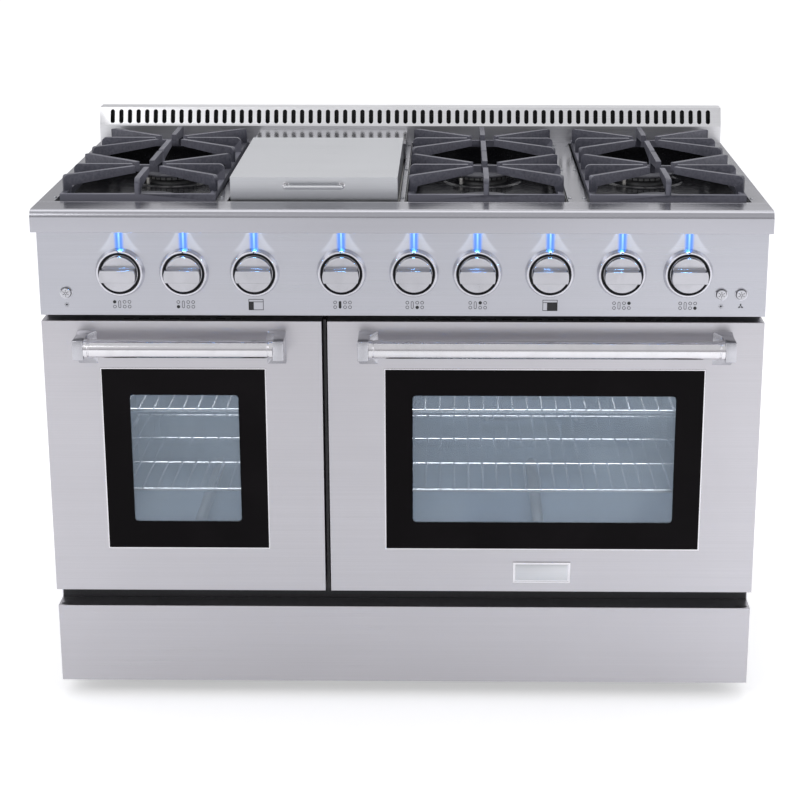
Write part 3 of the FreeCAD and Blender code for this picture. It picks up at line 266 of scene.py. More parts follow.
class EdgeWear(Effect):
    """Corners where a coating is thin and rubbed."""

    def fill(self, graph: Graph, entry: Node) -> Sequence[Socket]:
        """Convex edges, broken up by a fine noise."""
        point = graph.add("NewGeometry").outputs["Pointiness"]
        broken = graph.times(graph.noise(entry.outputs["Vector"], 220.0, 3.0), 0.06)
        edge = graph.span(graph.plus(point, broken), 0.54, 0.62)
        return [graph.times(edge, entry.outputs["Amount"])]


class FineDust(Effect):
    """A thin film on surfaces that face up."""

    def fill(self, graph: Graph, entry: Node) -> Sequence[Socket]:
        """The upward part of the normal, broken up by noise."""
        normal = graph.add("NewGeometry").outputs["Normal"]
        upward = graph.span(graph.parts(normal)[2], 0.3, 1.0)
        patches = graph.span(graph.noise(entry.outputs["Vector"], 30.0, 4.0), 0.3, 0.8, 0.2, 1.0)
        return [graph.times(graph.times(upward, patches), entry.outputs["Amount"])]


class Flecks(Effect):
    """Small round flecks scattered in an enamel, and the same as a surface height."""

    def fill(self, graph: Graph, entry: Node) -> Sequence[Socket]:
        """Cells whose middles are the flecks."""
        inputs = {"Vector": entry.outputs["Vector"], "Scale": entry.outputs["Scale"]}
        cells = graph.add("TexVoronoi", inputs)
        spots = graph.span(cells.outputs["Distance"], 0.12, 0.3, 1.0, 0.0)
        chosen = graph.span(graph.add("SeparateColor", {0: cells.outputs["Color"]}).outputs[0], 0.55, 0.75)
        return [graph.times(spots, chosen), cells.outputs["Distance"]]


class LampHalo(Effect):
    """Painted light that a small lamp throws down a panel: masks for a core, a beam and a pale haze."""

    def fill(self, graph: Graph, entry: Node) -> Sequence[Socket]:
        """All three end at the bezel below the lamp, and the haze widens as it falls."""
        parts = graph.add("SeparateXYZ", {0: entry.outputs["Vector"]})
        fall = graph.math("SUBTRACT", entry.outputs["Level"], parts.outputs[2])
        aside = graph.math("ABSOLUTE", graph.math("SUBTRACT", parts.outputs[0], entry.outputs["Middle"]))
        lit = graph.times(graph.span(fall, -0.001, 0.001),
                         graph.span(fall, entry.outputs["Drop"], 0.045, 1.0, 0.0))
        width = entry.outputs["Width"]
        core = graph.span(graph.math("DIVIDE", aside, graph.times(width, 0.3)), 0.2, 1.0, 1.0, 0.0)
        beam = graph.span(graph.math("DIVIDE", aside, width), 0.45, 1.1, 1.0, 0.0)
        reach = graph.plus(graph.times(width, 1.3),
                           graph.times(graph.math("POWER", fall, 1.6), 4.2))
        spread = graph.math("DIVIDE", aside, reach)
        haze = graph.times(graph.span(spread, 0.8, 1.05, 1.0, 0.0), graph.span(spread, 0.0, 1.0, 0.35, 1.0))
        core = graph.times(core, graph.span(fall, 0.0, 0.04, 1.0, 0.5))
        return [graph.times(part, lit) for part in (core, beam, haze)]


VECTOR = ("Vector", None)
BRUSHED_GRAIN = BrushedGrain("brushed_grain", (VECTOR,), ("Grain",))
SOFT_SMUDGES = SoftSmudges("soft_smudges", (VECTOR, ("Scale", 5.0)), ("Mask",))
EDGE_WEAR = EdgeWear("edge_wear", (VECTOR, ("Amount", 1.0)), ("Mask",))
FINE_DUST = FineDust("fine_dust", (VECTOR, ("Amount", 0.2)), ("Mask",))
FLECKS = Flecks("flecks", (VECTOR, ("Scale", 300.0)), ("Mask", "Height"))
LAMP_HALO = LampHalo(
    "lamp_halo", (VECTOR, ("Middle", 0.0), ("Level", 0.8), ("Width", 0.0085), ("Drop", 0.036)),
    ("Core", "Beam", "Haze"))


# ------------------------------------------------------------------------------ finishes
@dataclass(frozen=True)
class Finish:
    """A surface finish that becomes one material.

    Attributes:
        name: the material's name.
        colour: its main colour, linear.
        roughness: its mean roughness.
    """

    name: str
    colour: Colour
    roughness: float

    def dress(self, graph: Graph, shader: Node) -> None:
        """Fills the shader's sockets."""
        raise NotImplementedError

    def material(self) -> bpy.types.Material:
        """Makes the material the first time it is asked for, and finds it afterwards."""
        made = bpy.data.materials.get(self.name)
        if made:
            return made
        made = bpy.data.materials.new(self.name)
        made.use_nodes = True
        graph = Graph(made.node_tree)
        self.dress(graph, made.node_tree.nodes["Principled BSDF"])
        return made

    def feed(self, graph: Graph, shader: Node, **sockets: object) -> None:
        """Sets or links the shader's sockets by name."""
        graph.wire(shader, {key.replace("_", " "): value for key, value in sockets.items()})

    def shade(self, factor: float) -> Colour:
        """The main colour, lighter or darker."""
        return tuple(min(1.0, part * factor) for part in self.colour)


@dataclass(frozen=True)
class BrushedSteel(Finish):
    """Stainless sheet with a straight grain, faint banding and hand smudges.

    Attributes:
        grain: the way the brushing runs.
        depth: how deep the scratches are, in metres.
    """

    grain: Axis = Axis.X
    depth: float = 0.00003

    def dress(self, graph: Graph, shader: Node) -> None:
        """Grain moves the colour, the roughness and the height together."""
        grain = graph.effect(BRUSHED_GRAIN, vector=graph.place(self.grain.value)).outputs[0]
        smudge = graph.smudges(3.5)
        colour = graph.mix(graph.span(grain, 0.3, 0.7), self.shade(0.955), self.shade(1.035))
        clouded = graph.mix(graph.times(smudge, 0.35), colour, self.shade(0.965))
        rough = graph.span(grain, 0.25, 0.75, self.roughness - 0.04, self.roughness + 0.05)
        rough = graph.plus(rough, graph.times(smudge, 0.035))
        bump = graph.bump(grain, self.depth, 0.35)
        self.feed(graph, shader, Base_Color=clouded, Roughness=rough, Normal=bump, Metallic=1.0)


@dataclass(frozen=True)
class LitSteel(BrushedSteel):
    """Brushed sheet with the light of small lamps painted down it: a blue tint in its colour and an emitted
    glow.

    Attributes:
        lamps: x of each lamp.
        level: height of the lamps.
    """

    lamps: tuple[float, ...] = ()
    level: float = 0.8

    def dress(self, graph: Graph, shader: Node) -> None:
        """The brushed sheet, with a painted blue tint and a painted glow from one halo for each lamp."""
        super().dress(graph, shader)
        place = graph.place()
        painted_halo_masks: dict[str, object] = {"Core": 0.0, "Beam": 0.0, "Haze": 0.0}
        for middle in self.lamps:
            halo = graph.effect(LAMP_HALO, vector=place, middle=middle, level=self.level)
            painted_halo_masks = {part: graph.plus(total, halo.outputs[part]) for part, total in painted_halo_masks.items()}
        plain = shader.inputs["Base Color"].links[0].from_socket
        # Painted light: the beam tints the sheet's colour blue, and core, beam and haze glow as emission
        # below each lamp.
        tinted = graph.mix(graph.times(painted_halo_masks["Beam"], 0.85), plain, (0.05, 0.2, 0.72))
        glow: Socket | None = None
        colours = {"Core": (0.35, 0.6, 0.8), "Beam": (0.0, 0.07, 0.3), "Haze": (0.13, 0.14, 0.16)}
        for part, colour in colours.items():
            share = graph.add("VectorMath", {0: colour, "Scale": painted_halo_masks[part]}, operation="SCALE").outputs[0]
            if glow is not None:
                share = graph.add("VectorMath", {0: glow, 1: share}, operation="ADD").outputs[0]
            glow = share
        self.feed(graph, shader, Base_Color=tinted, Emission_Color=glow, Emission_Strength=1.0)


@dataclass(frozen=True)
class PolishedMetal(Finish):
    """Turned, plated or polished metal with faint haze and handling marks.

    Attributes:
        haze: how much the marks raise the roughness.
    """

    haze: float = 0.06

    def dress(self, graph: Graph, shader: Node) -> None:
        """Smudges and a very fine noise vary the gloss."""
        place = graph.place()
        smudge = graph.smudges(28.0)
        fine = graph.noise(place, 900.0, 2.0)
        rough = graph.plus(self.roughness, graph.times(smudge, self.haze))
        rough = graph.plus(rough, graph.times(fine, self.haze * 0.5))
        bump = graph.bump(fine, 0.00001, 0.2)
        colour = graph.mix(smudge, self.colour, self.shade(0.94))
        self.feed(graph, shader, Base_Color=colour, Roughness=rough, Normal=bump, Metallic=1.0)


@dataclass(frozen=True)
class CastCoating(Finish):
    """A cast part under a matt coat that is grainy, dusty and rubbed at its edges.

    Attributes:
        worn: the colour where the coat is rubbed.
        grit: size of the grains, as grains per metre.
        metallic: how metallic the coat is.
    """

    worn: Colour = (0.2, 0.2, 0.24)
    grit: float = 900.0
    metallic: float = 0.0

    def dress(self, graph: Graph, shader: Node) -> None:
        """Grain, lighter edges and a film of dust."""
        place = graph.place()
        grains = graph.noise(place, self.grit, 3.0)
        patches = graph.noise(place, 24.0, 3.0)
        edge = graph.effect(EDGE_WEAR, vector=place, amount=0.75).outputs[0]
        dust = graph.effect(FINE_DUST, vector=place, amount=0.16).outputs[0]
        colour = graph.mix(graph.span(patches, 0.3, 0.7), self.shade(0.82), self.shade(1.18))
        colour = graph.mix(edge, colour, self.worn)
        colour = graph.mix(dust, colour, (0.32, 0.32, 0.34))
        rough = graph.span(grains, 0.2, 0.8, self.roughness - 0.1, self.roughness + 0.1)
        bump = graph.bump(grains, 0.0002, 0.45)
        self.feed(graph, shader, Base_Color=colour, Roughness=rough, Normal=bump, Metallic=self.metallic)


@dataclass(frozen=True)
class Enamel(Finish):
    """Fired enamel or paint with flecks and a slightly wavy skin.

    Attributes:
        fleck: the colour of the flecks.
        flecks: flecks per metre.
    """

    fleck: Colour = (0.5, 0.55, 0.6)
    flecks: float = 260.0

    def dress(self, graph: Graph, shader: Node) -> None:
        """Flecks in the colour, orange peel in the height."""
        place = graph.place()
        spots = graph.effect(FLECKS, vector=place, scale=self.flecks)
        clouds = graph.span(graph.noise(place, 9.0, 3.0), 0.3, 0.7)
        colour = graph.mix(clouds, self.shade(0.92), self.shade(1.08))
        colour = graph.mix(spots.outputs["Mask"], colour, self.fleck)
        peel = graph.noise(place, 120.0, 2.0)
        rough = graph.span(peel, 0.3, 0.7, self.roughness - 0.04, self.roughness + 0.06)
        bump = graph.bump(peel, 0.00002, 0.1)
        self.feed(graph, shader, Base_Color=colour, Roughness=rough, Normal=bump)


@dataclass(frozen=True)
class FritGlass(Finish):
    """Glass printed black on its back."""

    def dress(self, graph: Graph, shader: Node) -> None:
        """Deep black with a thin film that moves only the gloss."""
        film = graph.smudges(6.0)
        rough = graph.span(film, 0.0, 1.0, self.roughness, self.roughness + 0.05)
        colour = graph.mix(film, self.colour, self.shade(1.5))
        self.feed(graph, shader, Base_Color=colour, Roughness=rough, Specular_IOR_Level=0.05)


@dataclass(frozen=True)
class ClearGlass(Finish):
    """Oven glass with a faint tint and a film that dulls it in patches.

    Attributes:
        clarity: how much passes through, as the see-through share of its alpha.
    """

    clarity: float = 0.75

    def dress(self, graph: Graph, shader: Node) -> None:
        """The film varies the tint and the alpha a little."""
        film = graph.smudges(5.0)
        alpha = graph.span(film, 0.0, 1.0, 1.0 - self.clarity, 1.06 - self.clarity)
        colour = graph.mix(film, self.colour, self.shade(1.12))
        self.feed(graph, shader, Base_Color=colour, Roughness=self.roughness, Alpha=alpha)


@dataclass(frozen=True)
class Braid(Finish):
    """A woven fibre seal."""

    def dress(self, graph: Graph, shader: Node) -> None:
        """Two crossing sets of strands in the colour and the height."""
        strands = [graph.add("TexWave", {"Vector": place, "Scale": 260.0, "Distortion": 1.0},
                             bands_direction="DIAGONAL").outputs["Fac"]
                   for place in (graph.place(), graph.place((-1.0, 1.0, 1.0)))]
        weave = graph.math("MAXIMUM", *strands)
        bump = graph.bump(weave, 0.0006, 0.8)
        colour = graph.mix(weave, self.shade(0.45), self.shade(1.2))
        self.feed(graph, shader, Base_Color=colour, Roughness=self.roughness, Normal=bump)


@dataclass(frozen=True)
class Print(Finish):
    """Screen-printed ink, a dull dark moulding, or a dark insert of painted shade."""

    def dress(self, graph: Graph, shader: Node) -> None:
        """A little unevenness in colour and gloss."""
        speck = graph.noise(graph.place(), 700.0, 3.0)
        colour = graph.mix(speck, self.shade(0.7), self.shade(1.4))
        rough = graph.span(speck, 0.2, 0.8, self.roughness - 0.08, self.roughness + 0.08)
        self.feed(graph, shader, Base_Color=colour, Roughness=rough)


@dataclass(frozen=True)
class GlowingLens(Finish):
    """A lit lens, brightest in patches where its glass is thin.

    Attributes:
        glow: the colour of its light.
        power: how strong the light is.
    """

    glow: Colour = (0.3, 0.6, 1.0)
    power: float = 3.0

    def dress(self, graph: Graph, shader: Node) -> None:
        """A prismed pattern in the glow."""
        prisms = graph.effect(FLECKS, vector=graph.place(), scale=420.0).outputs["Height"]
        glow = graph.mix(graph.span(prisms, 0.1, 0.7), self.glow, tuple(part * 0.6 for part in self.glow))
        bump = graph.bump(prisms, 0.0004, 0.4)
        self.feed(graph, shader, Base_Color=self.shade(1.0) + (1.0,), Roughness=self.roughness, Normal=bump,
                  Emission_Color=glow, Emission_Strength=self.power)


SHEET = BrushedSteel("sheet_steel", (0.56, 0.55, 0.575), 0.3)
DOOR_SKIN = BrushedSteel("door_skin_steel", (0.57, 0.56, 0.585), 0.31)
SIDE_SKIN = BrushedSteel("side_skin_steel", (0.5, 0.5, 0.52), 0.34, grain=Axis.Y)
RAIL_STEEL = BrushedSteel("front_rail_steel", (0.5, 0.5, 0.535), 0.2, depth=0.00002)
HOB_STEEL = BrushedSteel("hob_deck_steel", (0.5, 0.5, 0.53), 0.16, depth=0.00001)
LID_STEEL = BrushedSteel("griddle_lid_steel", (0.64, 0.65, 0.67), 0.3)
GUARD_STEEL = BrushedSteel("back_guard_steel", (0.86, 0.86, 0.87), 0.3)
PLATE_STEEL = BrushedSteel("griddle_plate_steel", (0.4, 0.39, 0.38), 0.32, grain=Axis.Y)
BRIGHT_BAR = PolishedMetal("handle_bright_steel", (0.82, 0.81, 0.83), 0.13)
BRIGHT_TURNING = PolishedMetal("knob_satin_steel", (0.56, 0.56, 0.59), 0.2)
BRIGHT_CONE = PolishedMetal("bezel_bright_steel", (0.66, 0.66, 0.7), 0.09)
RACK_PLATE = PolishedMetal("rack_nickel_plate", (0.82, 0.83, 0.86), 0.16)
ZINC = PolishedMetal("zinc_plate", (0.45, 0.46, 0.48), 0.34, haze=0.14)
BRASS = PolishedMetal("brass_fitting", (0.62, 0.43, 0.18), 0.24, haze=0.14)
CAST_IRON = CastCoating("grate_cast_coat", (0.046, 0.047, 0.064), 0.5, worn=(0.19, 0.19, 0.23))
CAP_ENAMEL = CastCoating("burner_cap_coat", (0.045, 0.046, 0.06), 0.42, worn=(0.16, 0.16, 0.18), grit=500.0)
CAST_ALUMINIUM = CastCoating("burner_head_aluminium", (0.34, 0.34, 0.35), 0.42,
                             worn=(0.6, 0.6, 0.6), metallic=0.9)
WELL_ENAMEL = Enamel("burner_well_enamel", (0.009, 0.009, 0.011), 0.16, fleck=(0.03, 0.03, 0.035))
OVEN_ENAMEL = Enamel("oven_blue_enamel", (0.12, 0.155, 0.215), 0.5, fleck=(0.15, 0.19, 0.25), flecks=180.0)
LINER_ENAMEL = Enamel("door_liner_enamel", (0.05, 0.055, 0.065), 0.3, fleck=(0.16, 0.17, 0.19))
FRAME_PAINT = Enamel("frame_dark_paint", (0.018, 0.018, 0.02), 0.42, fleck=(0.04, 0.04, 0.045))
GALVANISED = Enamel("galvanised_rail", (0.22, 0.23, 0.24), 0.42, fleck=(0.36, 0.37, 0.38), flecks=120.0)
BLACK_GLASS = FritGlass("window_black_frit", (0.004, 0.0033, 0.0038), 0.07)
WINDOW_GLASS = ClearGlass("window_clear_glass", (0.30, 0.36, 0.42), 0.03, clarity=0.72)
INNER_GLASS = ClearGlass("inner_clear_glass", (0.3, 0.36, 0.42), 0.04, clarity=0.9)
SEAL_BRAID = Braid("seal_glass_braid", (0.12, 0.12, 0.115), 0.85)
INK = Print("panel_ink", (0.012, 0.012, 0.014), 0.5)
MOULDING = Print("black_moulding", (0.015, 0.015, 0.016), 0.42)
# Dark pieces painted where openings are in shade: louvres, guard slots, vents, flame ports and knob gaps.
SHADOW_INSERT = Print("painted_shade_insert", (0.004, 0.004, 0.005), 0.6)
PORCELAIN = Enamel("igniter_porcelain", (0.72, 0.7, 0.66), 0.3, fleck=(0.6, 0.58, 0.52), flecks=900.0)
KNOB_LAMP = GlowingLens("knob_lamp_lens", (0.6, 0.75, 0.9), 0.2, glow=(0.25, 0.58, 1.0), power=5.0)
OVEN_LAMP = GlowingLens("oven_lamp_lens", (0.9, 0.9, 0.85), 0.25, glow=(1.0, 0.93, 0.82), power=4.0)


# ------------------------------------------------------------------------------ shapes
def block(bm: BMesh, low: Point, high: Point) -> list[BMVert]:
    """Adds a block between two corners.

    Args:
        bm: the mesh that gets it.
        low: its lowest corner.
        high: its highest corner.

    Returns:
        The block's vertices.
    """
    low, high = Vector(low), Vector(high)
    span = high - low
    place = Matrix.Translation((low + high) / 2) @ Matrix.Diagonal((*span, 1.0))
    return bmesh.ops.create_cube(bm, size=1.0, matrix=place)["verts"]


def edges_of(verts: Iterable[BMVert]) -> list[BMEdge]:
    """The edges that touch some vertices."""
    return list({edge for vert in verts for edge in vert.link_edges})


def faces_of(verts: Iterable[BMVert]) -> list[BMFace]:
    """The faces that touch some vertices."""
    return list({face for vert in verts for face in vert.link_faces})


def sharp_edges(bm: BMesh, above: float) -> list[BMEdge]:
    """The edges whose faces meet at more than an angle in radians."""
    return [edge for edge in bm.edges if edge.calc_face_angle(0.0) > above]


def rounded(bm: BMesh, edges: Iterable[BMEdge], radius: float, segments: int = 2) -> None:
    """Rounds edges.

    Args:
        bm: the mesh.
        edges: what is rounded.
        radius: how far the rounding reaches.
        segments: faces across it.
    """
    bmesh.ops.bevel(bm, geom=list(edges), offset=radius, segments=segments, profile=0.5,
                    affect="EDGES", clamp_overlap=True, material=-1)


def rounded_block(bm: BMesh, low: Point, high: Point, radius: float) -> None:
    """Adds a block with rounded edges."""
    rounded(bm, edges_of(block(bm, low, high)), radius)


def picture_frame(bm: BMesh, low: Point, high: Point, hole_low: Point, hole_high: Point) -> None:
    """Adds an upright flat frame with a rectangular hole through it along Y.

    Args:
        bm: the mesh that gets it, which is empty before.
        low: the frame's lowest corner.
        high: its highest corner.
        hole_low: the hole's lowest corner, whose y isn't read.
        hole_high: the hole's highest corner.
    """
    faces = [face for face in faces_of(block(bm, low, high)) if abs(face.normal.y) > FLAT]
    bmesh.ops.inset_individual(bm, faces=faces, thickness=0.02, use_even_offset=False)
    for vert in (vert for face in faces for vert in face.verts):
        vert.co.x = hole_low[0] if vert.co.x < (low[0] + high[0]) / 2 else hole_high[0]
        vert.co.z = hole_low[2] if vert.co.z < (low[2] + high[2]) / 2 else hole_high[2]
    rims = [edge for face in faces for edge in face.edges]
    bmesh.ops.delete(bm, geom=faces, context="FACES_ONLY")
    bmesh.ops.bridge_loops(bm, edges=rims)
    bmesh.ops.recalc_face_normals(bm, faces=bm.faces)


def area_light(name: str, size: tuple[float, float], power: float, place: Point,
               turn: Point = (0.0, 0.0, 0.0), colour: Colour = (1.0, 1.0, 1.0)) -> None:
    """Hangs one soft rectangular light.

    Args:
        name: the light's name.
        size: width and height of its face.
        power: in watts.
        place: where it hangs.
        turn: its rotation; without one it looks down.
        colour: of its light.
    """
    lamp = bpy.data.lights.new(name, "AREA")
    lamp.shape = "RECTANGLE"
    lamp.size, lamp.size_y = size
    lamp.energy = power
    lamp.color = colour
    holder = bpy.data.objects.new(name, lamp)
    holder.location = place
    holder.rotation_euler = turn
    bpy.context.scene.collection.objects.link(holder)


def turning(bm: BMesh, outline: Sequence[tuple[float, float]], place: Matrix, steps: int = 48) -> None:
    """Adds a turned solid.

    Args:
        bm: the mesh that gets it.
        outline: radius and height of each point, from one pole or rim to the other.
        place: the turn and shift that put the lathe's Z axis and origin in place.
        steps: faces round the axis.
    """
    before = set(bm.verts)
    chain = [bm.verts.new((radius, 0.0, height)) for radius, height in outline]
    edges = [bm.edges.new(pair) for pair in zip(chain, chain[1:])]
    bmesh.ops.spin(bm, geom=chain + edges, cent=(0, 0, 0), axis=(0, 0, 1), angle=math.tau,
                   steps=steps, use_merge=True)
    made = [vert for vert in bm.verts if vert not in before]
    bmesh.ops.remove_doubles(bm, verts=made, dist=1e-6)
    made = [vert for vert in bm.verts if vert not in before]
    bmesh.ops.recalc_face_normals(bm, faces=faces_of(made))
    bmesh.ops.transform(bm, matrix=place, verts=made)


def washer(bm: BMesh, place: Matrix, outer: float, inner: float, height: float, steps: int = 24) -> None:
    """Adds a flat ring that stands on its own XY plane."""
    outline = [(inner, 0.0), (outer, 0.0), (outer, height), (inner, height), (inner, 0.0)]
    turning(bm, outline, place, steps)


def disc(bm: BMesh, place: Matrix, radius: float, height: float, steps: int = 20) -> None:
    """Adds a flat round plate that stands on its own XY plane."""
    bmesh.ops.create_cone(bm, cap_ends=True, segments=steps, radius1=radius, radius2=radius, depth=height,
                          matrix=place @ Matrix.Translation((0, 0, height / 2)))


def screw_heads(bm: BMesh, spots: Iterable[Point], side: Side, radius: float = 0.004) -> None:
    """Adds a domed screw head with a sunk socket at each spot.

    Args:
        bm: the mesh that gets them.
        spots: where each head sits.
        side: the way they face.
        radius: of each head.
    """
    outline = [(0.0, 0.0), (radius, 0.0), (radius, radius * 0.25), (radius * 0.8, radius * 0.6),
               (radius * 0.42, radius * 0.68), (radius * 0.36, radius * 0.3), (0.0, radius * 0.3)]
    for spot in spots:
        turning(bm, outline, side.at(spot), steps=10)


def stadium(bm: BMesh, place: Matrix, half: float, radius: float, height: float, wall: float) -> None:
    """Adds an upright oval, as a ring or filled.

    Args:
        bm: the mesh that gets it.
        place: its middle and turn.
        half: half of its straight part.
        radius: of its ends.
        height: how far it stands off its plane.
        wall: width of the ring, or 0 for a filled oval.
    """
    before = set(bm.verts)
    made = bmesh.ops.create_cone(bm, cap_ends=True, segments=20, radius1=radius, radius2=radius,
                                 depth=height)["verts"]
    if wall:
        caps = [face for face in faces_of(made) if len(face.verts) > 4]
        bmesh.ops.inset_region(bm, faces=caps, thickness=wall, use_even_offset=True)
        inner = [face for face in caps if face.is_valid]
        rims = [edge for face in inner for edge in face.edges]
        bmesh.ops.delete(bm, geom=inner, context="FACES_ONLY")
        bmesh.ops.bridge_loops(bm, edges=rims)
        made = [vert for vert in bm.verts if vert not in before]
    for vert in made:
        vert.co.y += half if vert.co.y > 1e-6 else -half
    lift = Matrix.Translation((0, 0, height / 2))
    bmesh.ops.transform(bm, matrix=place @ lift, verts=made)


@dataclass
class Assembly:
    """What every sub-assembly shares: the body it rides on and the pieces it has made.

    Attributes:
        body: the body of the frame that its pieces ride on.
        pieces: the objects made so far.
    """

    body: str = "range_body"
    pieces: list[bpy.types.Object] = field(default_factory=list, init=False)

    def build(self) -> None:
        """Makes and dresses every piece."""
        raise NotImplementedError

    def dress(self, node: str, finish: Finish) -> None:
        """Gives a node of the frame its finish; its shape stays."""
        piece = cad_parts[node]
        piece.data.materials.clear()
        piece.data.materials.append(finish.material())
        self.pieces.append(piece)

    def place(self, name: str, bm: BMesh, finish: Finish, slot: str,
              replaced: Sequence[str] = (), crease: float = 32.0) -> bpy.types.Object:
        """Turns a finished mesh into a piece that rides on the body.

        Args:
            name: the piece's name.
            bm: its mesh, which is freed.
            finish: its surface.
            slot: the record's material slot; it is not used.
            replaced: nodes of the frame that it stands for.
            crease: angle above which an edge stays sharp, in degrees.

        Returns:
            The new object.
        """
        mesh = bpy.data.meshes.new(name)
        for face in bm.faces:
            face.smooth = True
        bm.to_mesh(mesh)
        bm.free()
        mesh.set_sharp_from_angle(angle=math.radians(crease))
        mesh.materials.append(finish.material())
        piece = bpy.data.objects.new(name, mesh)
        bpy.context.scene.collection.objects.link(piece)
        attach(piece, self.body)
        if replaced:
            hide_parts(*replaced)
        self.pieces.append(piece)
        return piece

    def soften(self, node: str, finish: Finish, radius: float, segments: int = 2,
               above: float = 34.0, merged: bool = True) -> bpy.types.Object:
        """Stands in for a node with a copy of it whose sharp edges are rounded.

        Args:
            node: the node of the frame.
            finish: the piece's surface.
            radius: of the rounding, or 0 to leave the edges.
            segments: faces across each rounding.
            above: angle above which an edge is sharp, in degrees.
            merged: whether flat faces are merged first; a face with a large hole can't be.

        Returns:
            The new object.
        """
        bm = bmesh.new()
        bm.from_mesh(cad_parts[node].data)
        bmesh.ops.remove_doubles(bm, verts=bm.verts, dist=1e-6)
        if merged:
            bmesh.ops.dissolve_limit(bm, angle_limit=math.radians(0.5), verts=bm.verts, edges=bm.edges,
                                     use_dissolve_boundaries=False)
        if radius:
            limit = math.radians(above)
            rounded(bm, [e for e in sharp_edges(bm, limit) if e.is_manifold], radius, segments)
        piece = self.place(f"{node}_shell", bm, finish, node, [node], crease=46.0 if radius else 32.0)
        if radius:
            smoother = piece.modifiers.new("even_faces", "WEIGHTED_NORMAL")
            smoother.keep_sharp = True
        return piece


# ------------------------------------------------------------------------------ casing
@dataclass
class Casing(Assembly):
    """Side and back sheets, base, feet, kick panel and the dark frame behind the doors.

    Attributes:
        screw_radius: of the heads on the sheets.
        louvre_count: louvres in a column.
        louvre_pitch: distance between them.
        louvre_length: length of each.
        louvre_columns: x of the middle of each column.
        hinge_level: height of the doors' hinges.
        door_sweep: how far under its hinge an opening door reaches.
    """

    screw_radius: float = 0.0042
    louvre_count: int = 9
    louvre_pitch: float = 0.018
    louvre_length: float = 0.19
    louvre_columns: tuple[float, float] = (-0.36, 0.06)
    hinge_level: float = 0.213
    door_sweep: float = 0.0405

    def build(self) -> None:
        """Dresses the sheets and adds brackets, screws, louvres and a blank plate."""
        self.dress("outer_panels", SIDE_SKIN)
        self.dress("base_frame", GALVANISED)
        self.soften("leveling_feet", ZINC, 0.0012)
        self.soften("kick_panel", SHEET, 0.0007, merged=False)
        self.dress("front_frame", FRAME_PAINT)
        self.recess_brackets()
        self.side_screws()
        self.back_fittings()

    def recess_brackets(self) -> None:
        """Two bright angles at the ends of the recess under the doors."""
        kick_low, kick_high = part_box("kick_panel")
        frame_low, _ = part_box("front_frame")
        top = self.hinge_level - self.door_sweep
        bm = bmesh.new()
        for side in (-1, 1):
            xs = sorted((side * (kick_high.x - 0.004), side * (kick_high.x - 0.024)))
            rounded_block(bm, (xs[0], kick_low.y + 0.012, kick_high.z),
                          (xs[1], frame_low.y, top), 0.0012)
        self.place("recess_brackets", bm, SHEET, "kick_panel")

    def side_screws(self) -> None:
        """Screws along the edges of both side sheets."""
        low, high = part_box("outer_panels")
        bm = bmesh.new()
        for side, x in ((Side.LEFT, low.x), (Side.RIGHT, high.x)):
            spots = [(x, y, low.z + 0.05 + row * (high.z - low.z - 0.1) / 4)
                     for y in (low.y + 0.014, high.y - 0.016) for row in range(5)]
            screw_heads(bm, spots, side, self.screw_radius)
        self.place("side_screws", bm, ZINC, "outer_panels")

    def back_fittings(self) -> None:
        """Louvres with dark strips of painted shade under them, screws and a blank plate on the back sheet.
        """
        low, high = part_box("outer_panels")
        back = high.y
        bm = bmesh.new()
        spots = [(low.x + 0.02 + column * (high.x - low.x - 0.04) / 8, back, z)
                 for column in range(9) for z in (low.z + 0.014, high.z - 0.014)]
        spots += [(x, back, low.z + row * (high.z - low.z) / 6)
                  for x in (low.x + 0.014, high.x - 0.014) for row in range(1, 6)]
        screw_heads(bm, spots, Side.BACK, self.screw_radius)
        self.place("back_screws", bm, ZINC, "outer_panels")

        louvres, shade_strips = bmesh.new(), bmesh.new()
        half = self.louvre_length / 2
        for middle in self.louvre_columns:
            for row in range(self.louvre_count):
                z = high.z - 0.17 - row * self.louvre_pitch
                made = block(louvres, (middle - half, back - 0.0005, z),
                             (middle + half, back + 0.005, z + 0.011))
                for vert in made:
                    if vert.co.y > back and vert.co.z > z + 0.005:
                        vert.co.y = back + 0.0004
                rounded(louvres, edges_of(made), 0.0012)
                # Painted shade: a dark strip under each louvre stands for the shade in its opening.
                block(shade_strips, (middle - half + 0.004, back, z - 0.0022),
                      (middle + half - 0.004, back + 0.0006, z))
        self.place("back_louvres", louvres, SIDE_SKIN, "outer_panels")
        self.place("louvre_shade_strips", shade_strips, SHADOW_INSERT, "outer_panels")

        bm = bmesh.new()
        rounded_block(bm, (-0.36, back, 0.3), (-0.24, back + 0.0012, 0.37), 0.0004)
        self.place("blank_back_plate", bm, ZINC, "outer_panels")


